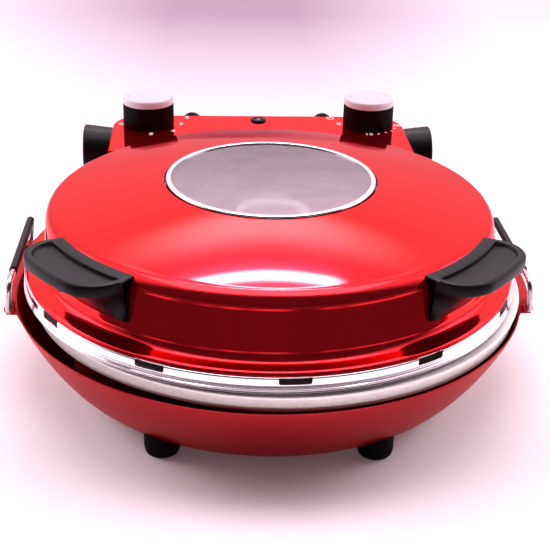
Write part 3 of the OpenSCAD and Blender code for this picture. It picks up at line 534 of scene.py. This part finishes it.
cut.operation, cut.solver, cut.object = "DIFFERENCE", "EXACT", plugs
shape = bpy.data.meshes.new_from_object(ring.evaluated_get(bpy.context.evaluated_depsgraph_get()))
ring.modifiers.clear()
ring.data = shape
shape.set_sharp_from_angle(angle=math.radians(50))
bpy.data.objects.remove(plugs)
print("ring:", len(shape.vertices), "points with slots")

# %% [markdown]
# ## Window
# A chromed bezel stands a little above the dome, with toughened glass inside it. The black line
# round the bezel is the gap to the dome.

# %% Window bezel and glass
low, high = dome(HOLE_R) - 4.5, dome(WINDOW_R) + 1.8
link("window_bezel_ring", lathe("window_bezel_ring", rounded([
    (71.2, high - 1.3), (71.3, high - 0.2, 0.6), (WINDOW_R, high - 0.1, 1.5), (WINDOW_R, low, 0.3),
    (73.8, low), (73.8, high - 1.3)], 6), steps=300),
    bezel_steel, "lid", ["window_bezel"], corner=50)
pane_top, pane_r, pane_thick = high - 1.4, 73.7, 4
link("window_glass_pane", lathe("window_glass_pane", rounded([
    (0, pane_top), (pane_r, pane_top, 0.4), (pane_r, pane_top - pane_thick, 0.4),
    (0, pane_top - pane_thick)], 3, closed=False), steps=200),
    glass, "lid", ["window_glass"])
print("window: bezel", round(high - low, 1), "mm high, glass at", round(pane_top, 1))

# %% [markdown]
# ## Bowl and pan
# The bowl is drawn from the same steel and trimmed plainly at its rim. Its wall is nearly upright
# and turns under to the flat floor, on a curve fitted to the outline in the photograph. Inside it
# the bright pan shows only its skirt, a few millimetres to the right of the middle.

# %% Bowl
RIM_R, RIM_Z, FLOOR_R, FLOOR_Z = 184.5, 66.3, 145.5, 10.5


def bowl_point(turn_under):
    """A point of the outer face; the angle runs from 0 at the rim to 90 degrees at the floor."""
    a = math.radians(turn_under)
    return (FLOOR_R + (RIM_R - FLOOR_R) * max(math.cos(a), 0) ** 1.47,
            RIM_Z - (RIM_Z - FLOOR_Z) * math.sin(a) ** 1.79)


wall = [bowl_point(90 * k / 48) for k in range(1, 49)]
inside = [(r, z) for r, z in offset(wall, -1.2) if r > 100][::-1]
lip = [(RIM_R - 1.2, RIM_Z - 0.4), (RIM_R - 0.9, RIM_Z), (RIM_R - 0.3, RIM_Z), (RIM_R, RIM_Z - 0.35)]
bowl_profile = lip + wall + [(0, FLOOR_Z), (0, FLOOR_Z + 1.2)] + inside
link("base_bowl_skin", lathe("base_bowl_skin", bowl_profile, steps=360),
     shaded_bowl_lacquer, "base", ["base_bowl"], corner=50)
print("bowl:", 2 * RIM_R, "mm across the rim,", 2 * FLOOR_R, "across the floor")

# %% Inner pan
PAN_SHIFT = 5  # how far it sits to the right
pan_path = rounded([
    (175.3, 63.5), (175.8, 64.1, 0.3), (175.8, 71.4, 0.6), (178.0, 72.6, 0.6), (178.0, 74.5, 0.9),
    (163.8, 74.5, 1.5), (156.3, 61, 2), (155.5, 58, 0.8), (147, 58, 2), (143.5, 41.5, 3),
    (0.6, 39)], 5, closed=False)
link("inner_pan_pressing", lathe("inner_pan_pressing", sheet(pan_path, 1), (PAN_SHIFT, AXIS_Y), 360),
     pan_steel, "base", ["inner_pan"], corner=45)
print("pan:", len(pan_path), "points in its profile")

# %% [markdown]
# ## Lid handles
# Two black wings, moulded in phenolic so that they stay cool. Each is a stack of upright sections,
# turned about the cooking axis: thick at the wall, thin at the outer edge, with a shallow tray in
# the top that follows the outline a little way in. The front corner is rounder than the rear one.

# %% Lid handles
HANDLE_R, HALF = 191.0, 14.5  # outer radius, and half the angle that a handle takes up
FRONT_C, REAR_C = 26.0, 22.0  # radii of its two corners
BORDER = 5.2  # width of the raised border round the tray
HANDLE_TURN = 50  # degrees from the front to a handle's middle


def degrees_wide(mm):
    """A width in millimetres as an angle about the cooking axis, halfway along the handle."""
    return math.degrees(mm / 176)


def reach(angle, corner, inset=0.0):
    """The outline's radius at an angle from the handle's middle, with a rounded corner."""
    corner, half = corner - inset, HALF - degrees_wide(inset)
    rho = HANDLE_R - inset - corner
    start = half - math.degrees(math.asin(corner / rho))
    if angle <= start:
        return HANDLE_R - inset
    turn_by = math.radians(min(angle, half) - start)
    return rho * math.cos(turn_by) + math.sqrt(max(corner ** 2 - (rho * math.sin(turn_by)) ** 2, 0))


def ease(t):
    """0 to 1, with a soft start and a soft end."""
    t = max(0.0, min(1.0, t))
    return t * t * (3 - 2 * t)


def handle_section(out, lip, tray, shrink):
    """One section (r, z): up the wall, over the tray and lip, round the edge, back underneath."""
    top, s = 133.0, shrink
    wall = [(162.6 + s, 103 + s), (161.6, 112), (160.6, 121.4), (160.2, 126), (158.4, 130.2),
            (155.8, top - 1.2 - s), (156.6, top - s)]
    over = [(164.6, top - s), (165.4, top - 0.3 * tray - s), (166.0, top - 2.3 * tray - s),
            (167.2, top - 2.6 * tray - s), (max(lip - 2.6, 167.6), top - 2.6 * tray - s),
            (max(lip - 1.4, 168), top - 2.2 * tray - s), (max(lip - 0.6, 168.4), top - 0.4 * tray - s),
            (max(lip, 168.8), top - s)]
    edge = [(out - 1.8 - s, top - s), (out - 0.9 - s, top - 0.25 - s), (out - 0.25 - s, top - 0.9),
            (out - s, top - 1.9), (out - s, top - 6.6), (out - 0.4 - s, top - 7.6 + s),
            (out - 1.2 - s, top - 8.3 + s)]
    under = [(r, z + s) for r, z in
             bezier((out - 3.2, top - 9.2), (out - 16, top - 14), (164.6, 103), 8)]
    return wall + over + edge + under


def make_handle(name, side, node):
    middle = math.radians(-90 + side * HANDLE_TURN)
    loops = []
    stops = ([-HALF, -HALF + 0.12, -HALF + 0.3]
             + [-HALF + 0.8 + (2 * HALF - 1.6) * k / 72 for k in range(73)]
             + [HALF - 0.3, HALF - 0.12, HALF])
    for i, a in enumerate(stops):
        # positive angles are towards the front of the cooker
        corner = FRONT_C if a > 0 else REAR_C
        out = reach(abs(a), corner)
        lip = reach(abs(a), corner, BORDER)
        tray = ease((HALF - degrees_wide(BORDER) - abs(a)) / 0.5)
        shrink = {0: 0.7, 1: 0.25, 2: 0.05}.get(min(i, len(stops) - 1 - i), 0.0)
        angle = middle - side * math.radians(a)
        loops.append([(r * math.cos(angle), AXIS_Y + r * math.sin(angle), z)
                      for r, z in handle_section(out, lip, tray, shrink)])
    mesh = loft(name, loops if side < 0 else loops[::-1])
    return link(name, mesh, phenolic, "lid", [node], corner=45)


make_handle("handle_left_wing", -1, "handle_left")
make_handle("handle_right_wing", 1, "handle_right")
print("handles:", round(HANDLE_R * math.radians(2 * HALF)), "mm wide along their edge")

# %% [markdown]
# ## Control box
# A moulded shell behind the lid, cut to the lid's curve in front and rounded at the back. It is
# lofted from outlines, so that its top edge can be rolled over like the real one's.

# %% Control box
def box_outline(inset, front_r):
    """The box from above; it is cut in front to a radius about the cooking axis."""
    w, back, corner = 127.5 - inset, 233 - inset, 28 - inset
    front, r = 138 + inset, front_r + inset
    meet = math.sqrt(r * r - front * front)
    points = [(w - corner + corner * math.cos(math.radians(a)),
               back - corner + corner * math.sin(math.radians(a))) for a in range(0, 91, 6)]
    points += [(-x, y) for x, y in points[::-1]]
    points += [(-w, front), (-meet, front)]
    span = math.atan2(front, meet)
    for k in range(1, 32):
        a = math.pi - span + (2 * span - math.pi) * k / 32
        points.append((r * math.cos(a), r * math.sin(a)))
    return points + [(meet, front), (w, front)]


def box_level(z, inset, front_r):
    return [(x, AXIS_Y + y, z) for x, y in box_outline(inset, front_r)]


BOX_TOP = 120
levels = [  # height, inset and front radius, up the inside first and then up the outside
    (118, 2, 161.7), (103, 2, 164.0), (97, 2, 179.6), (78, 2, 179.6), (78, 0.6, 179.6),
    (78.3, 0.15, 179.6), (79, 0, 179.6), (95, 0, 179.6), (101, 0, 164.0), (118, 0, 161.7),
    (118.7, 0.15, 161.7), (119.3, 0.5, 161.6), (119.75, 1.1, 161.5), (BOX_TOP, 2.0, 161.5),
    (BOX_TOP, 2.8, 161.5)]
link("control_box_shell", loft("control_box_shell", [box_level(*level) for level in levels]),
     box_lacquer, "lid", ["control_box"], corner=40)
print("control box:", len(levels), "outlines of", len(box_outline(0, 161.5)), "points")

# %% [markdown]
# ## Knobs
# Each knob is a black skirt with fine grip ribs and a pale cap with a small printed pointer. The
# two dials differ in what is printed round them.

# %% Knobs and caps
KNOB_X, KNOB_Y = 96.5, AXIS_Y + 207.5
for side, body in ((-1, "thermostat"), (1, "timer")):
    x = side * KNOB_X
    link(f"{body}_knob_skirt", lathe(f"{body}_knob_skirt", rounded([
        (0, 139.8), (21.9, 139.8, 0.4), (22.0, 121.2, 1.0), (20.6, 120.8, 0.3), (11, 120.8), (11, 125.8),
        (0, 125.8)], 4, closed=False), (x, KNOB_Y), 288, rib=0.35, rib_from=21.3),
        knob_abs, f"{body}_dial", [f"{body}_knob"])
    link(f"{body}_cap_disc", lathe(f"{body}_cap_disc", rounded([
        (0, 145.8), (20.9, 145.8, 1.4), (21.6, 144.2, 1.0), (21.8, 139.8, 0.3), (0, 139.8)],
        5, closed=False), (x, KNOB_Y), 96), cap_abs, f"{body}_dial", [f"{body}_cap"])
    mark = loft(f"{body}_pointer", [[(x - 18.5, KNOB_Y + 1.2, z), (x - 18.5, KNOB_Y + 2.4, z),
                                     (x - 14.5, KNOB_Y + 2.4, z), (x - 14.5, KNOB_Y + 1.2, z)][::-1]
                                    for z in (145.6, 145.86)])
    link(f"{body}_pointer", mark, grey_ink, f"{body}_dial")


# %% [markdown]
# ## Dial marks
# Plain numbers and dots, printed in white. They are letters made into thin meshes that lie on the
# box's top.

# %% Dial marks
def printed(name, text, x, y, size):
    """A word or number lying on the box's top, with its middle at a place in millimetres."""
    curve = bpy.data.curves.new(name, "FONT")
    curve.body, curve.size, curve.extrude = text, size * MM, 0.04 * MM
    curve.align_x, curve.align_y, curve.offset = "CENTER", "CENTER", 0.12 * MM
    temp = bpy.data.objects.new(name, curve)
    bpy.context.scene.collection.objects.link(temp)
    temp.location = (x * MM, (AXIS_Y + y) * MM, (BOX_TOP + 0.03) * MM)
    bpy.context.view_layer.update()
    mesh = bpy.data.meshes.new_from_object(temp.evaluated_get(bpy.context.evaluated_depsgraph_get()))
    mesh.transform(temp.matrix_world)
    bpy.data.objects.remove(temp)
    mesh.materials.clear()
    made = bpy.data.objects.new(name, mesh)
    bpy.context.scene.collection.objects.link(made)
    mesh.materials.append(ink)
    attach(made, "lid")


numbers = (("dial_0", "0", -120.8, 206.7), ("dial_5", "5", -93.5, 180.2),
           ("dial_4", "4", -74.9, 188.5), ("dial_3", "3", -68.4, 207.6), ("dial_2", "2", -63.4, 226.0),
           ("timer_0", "0", 71.4, 210.3), ("timer_15", "15", 94.8, 182.8),
           ("timer_60", "60", 123.0, 207.0))
for name, text, x, y in numbers:
    printed(name, text, x, y, 8.5 if len(text) == 1 else 7.5)
INK_TOP = BOX_TOP + 0.07
for k, (x, y) in enumerate(((103.2, 183.5), (110.2, 187.6), (115.6, 192.4), (119.2, 198.6))):
    dot = lathe(f"timer_dot_{k}", [(0, BOX_TOP), (1.1, BOX_TOP), (1.1, INK_TOP), (0, INK_TOP)],
                (x, AXIS_Y + y), 20)
    link(f"timer_dot_{k}", dot, ink, "lid")
clock_y = AXIS_Y + 226.5
clock = lathe("timer_clock_ring", [(2.7, BOX_TOP), (3.5, BOX_TOP), (3.5, INK_TOP), (2.7, INK_TOP)],
              (64.9, clock_y), 32)
link("timer_clock_ring", clock, ink, "lid")
hand = loft("timer_clock_hand", [[(64.5, clock_y, z), (65.3, clock_y, z), (65.3, clock_y + 2.7, z),
                                  (64.5, clock_y + 2.7, z)] for z in (BOX_TOP, INK_TOP)])
link("timer_clock_hand", hand, ink, "lid")
print("dial marks:", len(numbers), "numbers, 4 dots and a clock")

# %% [markdown]
# ## Hinge drums, lamp, feet and bumpers
# The drums flare outwards, so they are turned with a slight cone. Feet and bumpers are turned too,
# with soft moulded corners.

# %% Hinge drums
HINGE_Y, HINGE_Z, DRUM_X = 211.5, 93.5, 128.1
for side, word in ((-1, "left"), (1, "right")):
    drum = lathe(f"hinge_drum_{word}", rounded([
        (0, 0), (20.0, 0, 0.5), (20.6, 0.6, 0.3), (23.4, 24.6, 1.4), (20.5, 25.7, 1.5), (19.6, 25.2, 0.4),
        (0, 26.4)], 5, closed=False), (0, 0), 120)
    link(f"hinge_drum_{word}", along_x(drum, (side * DRUM_X, AXIS_Y + HINGE_Y, HINGE_Z), side),
         phenolic, "base", [f"hinge_knuckle_{word}"])

# %% Lamp
lamp_y = AXIS_Y + 218.5
link("lamp_bezel_ring", lathe("lamp_bezel_ring", rounded([
    (3.0, 112), (3.0, 121.2, 0.4), (3.8, 121.7, 0.4), (6.4, 121.6, 0.9), (7, 120, 0.2),
    (5.5, 120), (5.5, 112)], 4), (0, lamp_y), 48), knob_abs, "lid", ["lamp_bezel"])
link("lamp_lens_dome", lathe("lamp_lens_dome", [
    (0, 121.9), (1.2, 121.8), (2.2, 121.4), (2.9, 120.8), (2.9, 110), (0, 110)], (0, lamp_y), 40),
    lamp_abs, "lid", ["lamp_lens"])

# %% Feet and bumpers
def under_bowl(r):
    """Height of the bowl's outer face at a radius beyond its flat floor."""
    if r <= FLOOR_R:
        return FLOOR_Z
    share = ((r - FLOOR_R) / (RIM_R - FLOOR_R)) ** (2 / 1.47)
    return RIM_Z - (RIM_Z - FLOOR_Z) * (1 - share) ** (1.79 / 2)


FOOT_REACH = 143  # from the cooking axis to a foot's middle
foot_profile = rounded([(0, 18.5), (12.3, 18.5), (12.3, 6, 2), (12.1, 3.5, 1), (11.0, 0, 2.2), (0, 0)],
                       6, closed=False)
foot_points, foot_faces = [], []
for angle in (58, 118, 238, 298):
    a = math.radians(angle)
    one = lathe("foot", foot_profile,
                (FOOT_REACH * math.cos(a), AXIS_Y + FOOT_REACH * math.sin(a)), 64)
    base = len(foot_points)
    for v in one.vertices:
        x, y, z = (c / MM for c in v.co)
        foot_points.append((x, y, min(z, under_bowl(math.hypot(x, y - AXIS_Y)) - 0.05)))
    foot_faces += [[base + v for v in p.vertices] for p in one.polygons]
link("rubber_feet", mesh_from("rubber_feet", foot_points, foot_faces),
     rubber, "base", ["feet"])

bumper_profile = rounded([(0, 0), (9.5, 0, 0.2), (9.3, 8, 2), (7.6, 12, 3), (0, 12)], 6, closed=False)
bumper_points, bumper_faces = [], []
for x in (-59, 59):
    one = along_y(lathe("bumper", bumper_profile, (0, 0), 48), (x, AXIS_Y + 233, 111))
    base = len(bumper_points)
    bumper_points += [[c / MM for c in v.co] for v in one.vertices]
    bumper_faces += [[base + v for v in p.vertices] for p in one.polygons]
link("rubber_bumpers", mesh_from("rubber_bumpers", bumper_points, bumper_faces),
     rubber, "lid", ["rear_bumpers"])
print("feet:", len(foot_points), "points; bumpers:", len(bumper_points))

# %% [markdown]
# ## The carried-over pieces
# Screws, elements, brackets, bails and the other small pieces are right as they were built. They
# only need their materials and smooth shading.

# %% Materials for the built pieces
finishes = {
    "zinc_steel": zinc_steel, "bail_steel": wire_steel, "black_bracket_steel": black_steel,
    "element_sheath": sheath_steel, "refractory_stone": stone, "black_handle": phenolic,
    "reflector_aluminium": reflector_aluminium, "black_rubber": rubber, "silicone": silicone,
    "grey_plastic": grey_pp, "ivory_plastic": ivory_urea, "lamp_plastic": lamp_abs,
    "red_enamel": shaded_bowl_lacquer, "red_box": box_lacquer, "bright_steel": pan_steel,
    "black_knob": knob_abs, "pale_cap": cap_abs, "window_glass": glass}
for part in frame["record"]["subparts"]:
    solid = nodes[part["node"]]
    solid.data.materials.clear()
    solid.data.materials.append(finishes[part["material_slot"]])
    solid.data.shade_smooth()
    solid.data.set_sharp_from_angle(angle=math.radians(30))

# %% [markdown]
# ## Studio
# A pale floor that runs far back, broad light from above and from both sides, and cards that only
# mirror-like surfaces see. The dark cloth that lies round the front keeps the upright wall of the
# lid deep red. The strip behind gives the white highlight along the front of the dome, and the
# wide soft panel the pink sheen above it.

# %% Floor
def mixed(tree, factor, first, second):
    """One colour passing into another; each is a hex value or a node's output."""
    made = add(tree, "ShaderNodeMix", {"Factor": factor}, data_type="RGBA")
    for socket, colour in ((6, first), (7, second)):
        if isinstance(colour, str):
            made.inputs[socket].default_value = linear(colour)
        else:
            tree.links.new(colour, made.inputs[socket])
    return made.outputs[2]


floor_mat, tree = new_material("paper floor")
place = add(tree, "ShaderNodeTexCoord")
along = add(tree, "ShaderNodeSeparateXYZ", {"Vector": place.outputs["Object"]})
aside = add(tree, "ShaderNodeMath", {0: along.outputs["X"]}, operation="ABSOLUTE")
# Far behind the cooker, and most near the middle, the floor's colour turns darker and more mauve: painted
# shade, for a backdrop that gets less light there.
far_painted_shade = mixed(tree, between(tree, aside.outputs[0], 0, 1, (0.10, 0.42)), "#ad94a5", "#e2d3dd")
whole = mixed(tree, between(tree, along.outputs["Y"], 0, 1, (0.15, 1.1)), "#fdf6fa", far_painted_shade)
fibres = grain(tree, 2, 2)
shader = add(tree, "ShaderNodeBsdfPrincipled", {
    "Base Color": whole, "Roughness": 0.9, "Specular IOR Level": 0.1,
    "Normal": bumps(tree, fibres.outputs["Fac"], 0.02, 0.2)})
close(tree, shader)
FAR = 9000  # the floor's edges are this far away
floor = bpy.data.objects.new("floor", mesh_from(
    "floor", [(-FAR, -FAR, 0), (FAR, -FAR, 0), (FAR, FAR, 0), (-FAR, FAR, 0)], [[0, 1, 2, 3]]))
floor.data.materials.append(floor_mat)
bpy.context.scene.collection.objects.link(floor)


# %% Glowing cards
DOME_FRONT = Vector((0, (AXIS_Y - 130) * MM, 0.146))


def soft(tree, coordinate, half, fade):
    """1 in the middle of a card and 0 at its edge, over the fade's share of its half width."""
    away = add(tree, "ShaderNodeMath", {0: coordinate}, operation="ABSOLUTE")
    return add(tree, "ShaderNodeMapRange", {
        "Value": away.outputs[0], "From Min": half * (1 - fade), "From Max": half,
        "To Min": 1.0, "To Max": 0.0}, interpolation_type="SMOOTHSTEP").outputs["Result"]


def card(name, elevation, azimuth, width, height, glow, fade, colour="#fff4fa", distance=2.4):
    """A glowing panel that only mirror-like surfaces see.

    It is placed by its direction from the dome's front. Azimuth 0 is straight behind the cooker,
    and elevation is above the table; width, height and distance are in metres.
    """
    e, a = math.radians(elevation), math.radians(azimuth)
    towards = Vector((math.sin(a) * math.cos(e), math.cos(a) * math.cos(e), math.sin(e)))
    w, h = width / MM / 2, height / MM / 2
    made = bpy.data.objects.new(name, mesh_from(
        name, [(-w, -h, 0), (w, -h, 0), (w, h, 0), (-w, h, 0)], [[0, 1, 2, 3]]))
    made.location = DOME_FRONT + towards * distance
    made.rotation_euler = (-towards).to_track_quat("Z", "Y").to_euler()
    mat, tree = new_material(name)
    place = add(tree, "ShaderNodeTexCoord")
    axes = add(tree, "ShaderNodeSeparateXYZ", {"Vector": place.outputs["Object"]})
    shape = add(tree, "ShaderNodeMath", {
        0: soft(tree, axes.outputs["X"], width / 2, fade[0]),
        1: soft(tree, axes.outputs["Y"], height / 2, fade[1])}, operation="MULTIPLY")
    strength = add(tree, "ShaderNodeMath", {0: shape.outputs[0], 1: glow}, operation="MULTIPLY")
    glowing = add(tree, "ShaderNodeEmission", {"Color": linear(colour), "Strength": strength.outputs[0]})
    air = add(tree, "ShaderNodeBsdfTransparent")
    close(tree, add(tree, "ShaderNodeMixShader",
                    {"Fac": shape.outputs[0], 1: air.outputs[0], 2: glowing.outputs[0]}))
    made.data.materials.append(mat)
    only_mirrored(made)


def only_mirrored(made):
    """Part of the stage that shows in reflections and nowhere else."""
    bpy.context.scene.collection.objects.link(made)
    made.visible_camera = made.visible_shadow = False
    made.visible_diffuse = made.visible_transmission = False


card("strip behind", 49.5, 1.0, 1.05, 0.11, 48, (0.25, 0.6))
card("soft panel behind", 40.5, 2, 2.4, 0.66, 9.0, (0.9, 0.9))
print("cards: 2")

# %% [markdown]
# ## Lamps
# A broad lamp overhead makes the shadow, and two windows light the sides. Three more lamps stay out
# of the reflections: two from behind at the sides, which lighten the shadow there and leave it dark
# in front, and a low one in front for the pan's skirt, which stands upright and sees little of the
# light from above.

# %% Lamps

def lamp(name, place, size, power, colour="#fff3f8"):
    """A rectangular lamp that faces the cooker; places and sizes in metres, power in watts."""
    data = bpy.data.lights.new(name, "AREA")
    data.shape, data.size, data.size_y = "RECTANGLE", size[0], size[1]
    data.energy, data.color = power, linear(colour)[:3]
    made = bpy.data.objects.new(name, data)
    bpy.context.scene.collection.objects.link(made)
    made.location = place
    towards = Vector((0, 0, 0.05)) - Vector(place)
    made.rotation_euler = towards.to_track_quat("-Z", "Y").to_euler()
    return made


lamp("overhead", (0, 0.25, 1.7), (1.6, 1.1), 16)
lamp("left window", (-1.7, 0.5, 1.0), (1.0, 1.0), 8)
lamp("right window", (1.7, 0.4, 1.0), (1.0, 1.0), 6)
unseen = (("left bounce", (-1.8, 0.8, 0.85), (1.0, 1.0), 20),
          ("right bounce", (1.8, 0.8, 0.85), (1.0, 1.0), 20),
          ("front fill", (0, -1.75, 0.15), (1.6, 0.2), 19))
for settings in unseen:
    lamp(*settings).visible_glossy = False
print("lamps:", 3 + len(unseen))

# %% [markdown]
# ## Dark cloth
# The lid's upright wall mirrors the table in front of it. A cloth lies there, from 0.4 m outwards,
# that the camera doesn't see. It glows faintly, and more in patches a little farther out: painted
# light standing for folds that catch light, so the wall mirrors paler patches of painted glow.

# %% Dark cloth in front
cloth_points = [(r * math.sin(math.radians(a)), AXIS_Y - r * math.cos(math.radians(a)), 1)
                for r in (400, 5000) for a in range(-75, 76, 5)]
count = len(cloth_points) // 2
cloth = bpy.data.objects.new("dark cloth, painted glow", mesh_from("dark cloth, painted glow", cloth_points, [
    [k, k + 1, count + k + 1, count + k] for k in range(count - 1)]))
mat, tree = new_material("dark cloth, painted glow")
place = add(tree, "ShaderNodeTexCoord")
centred = add(tree, "ShaderNodeVectorMath", {
    0: place.outputs["Object"], 1: (0, -AXIS_Y * MM, 0)}, operation="ADD")
out = add(tree, "ShaderNodeVectorMath", {0: centred.outputs[0]}, operation="LENGTH").outputs["Value"]
heading = add(tree, "ShaderNodeVectorMath", {0: centred.outputs[0]}, operation="NORMALIZE")
# The cloth's glow is painted light: emission in patches that stand for folds catching light.
glow_patch_noise = add(tree, "ShaderNodeTexNoise", {"Vector": heading.outputs[0], "Scale": 3.4, "Detail": 1.0})
light = add(tree, "ShaderNodeMath", {0: between(tree, out, 0, 1, (0.60, 0.70)),
                                     1: between(tree, out, 1, 0, (1.0, 1.5))}, operation="MULTIPLY")
painted_glow_patches = between(tree, glow_patch_noise.outputs["Fac"], 0.02, 1.0, (0.42, 0.6))
light = add(tree, "ShaderNodeMath", {0: light.outputs[0], 1: painted_glow_patches}, operation="MULTIPLY")
light = add(tree, "ShaderNodeMath", {0: light.outputs[0], 1: 0.07}, operation="ADD")
close(tree, add(tree, "ShaderNodeEmission", {"Color": linear("#ffd8e2"), "Strength": light.outputs[0]}))
cloth.data.materials.append(mat)
only_mirrored(cloth)
print("cloth:", len(cloth.data.polygons), "panels")

# %% Ring lamp seen in the window
HALO_R, TUBE_R = 96, 10
tube = [2 * math.pi * k / 16 for k in range(16)]
halo_mesh = lathe("ring lamp", [(HALO_R + TUBE_R * math.cos(a), TUBE_R * math.sin(a)) for a in tube],
                  (0, 0), 96)
halo = bpy.data.objects.new("ring lamp", halo_mesh)
mat, tree = new_material("ring lamp")
close(tree, add(tree, "ShaderNodeEmission", {"Color": linear("#fff4fa"), "Strength": 2.6}))
halo_mesh.materials.append(mat)
only_mirrored(halo)

# %% [markdown]
# ## Room
# The room is bright behind the cooker and above it, and dark in front, as a studio is behind its
# camera. The camera itself sees one even, pale wall.

# %% Room
world = bpy.data.worlds.new("studio")
bpy.context.scene.world = world
world.use_nodes = True
tree = world.node_tree
tree.nodes.clear()
place = add(tree, "ShaderNodeTexCoord")
axes = add(tree, "ShaderNodeSeparateXYZ", {"Vector": place.outputs["Generated"]})
behind = between(tree, axes.outputs["Y"], 0.05, 1.0, (-0.35, 0.1))
high = between(tree, axes.outputs["Z"], 1.0, 1.5, (0.15, 0.5))
room = add(tree, "ShaderNodeMath", {0: behind, 1: high}, operation="MULTIPLY").outputs[0]
seen = add(tree, "ShaderNodeLightPath")
strength = add(tree, "ShaderNodeMix", {"Factor": seen.outputs["Is Camera Ray"], "A": room, "B": 0.9})
back = add(tree, "ShaderNodeBackground", {"Color": linear("#f8e6f1"), "Strength": strength.outputs[0]})
add(tree, "ShaderNodeOutputWorld", {"Surface": back.outputs[0]})
bpy.context.scene.view_settings.view_transform = "Standard"
bpy.context.scene.view_settings.look = "None"

# %% [markdown]
# ## Place the ring lamp
# A flat mirror shows a thing as far below itself as the thing is above it. So the lamp is put on
# the mirrored line of sight of the place in the window where its reflection belongs.

# %% Ring lamp's place
eye = camera.location
spot = Vector((-0.0019, AXIS_Y * MM - 0.0659, 0.1494))
sight = (spot - eye).normalized()
sight.z = -sight.z
halo.location = spot + sight * 2.6
print("ring lamp at", [round(c, 2) for c in halo.location])
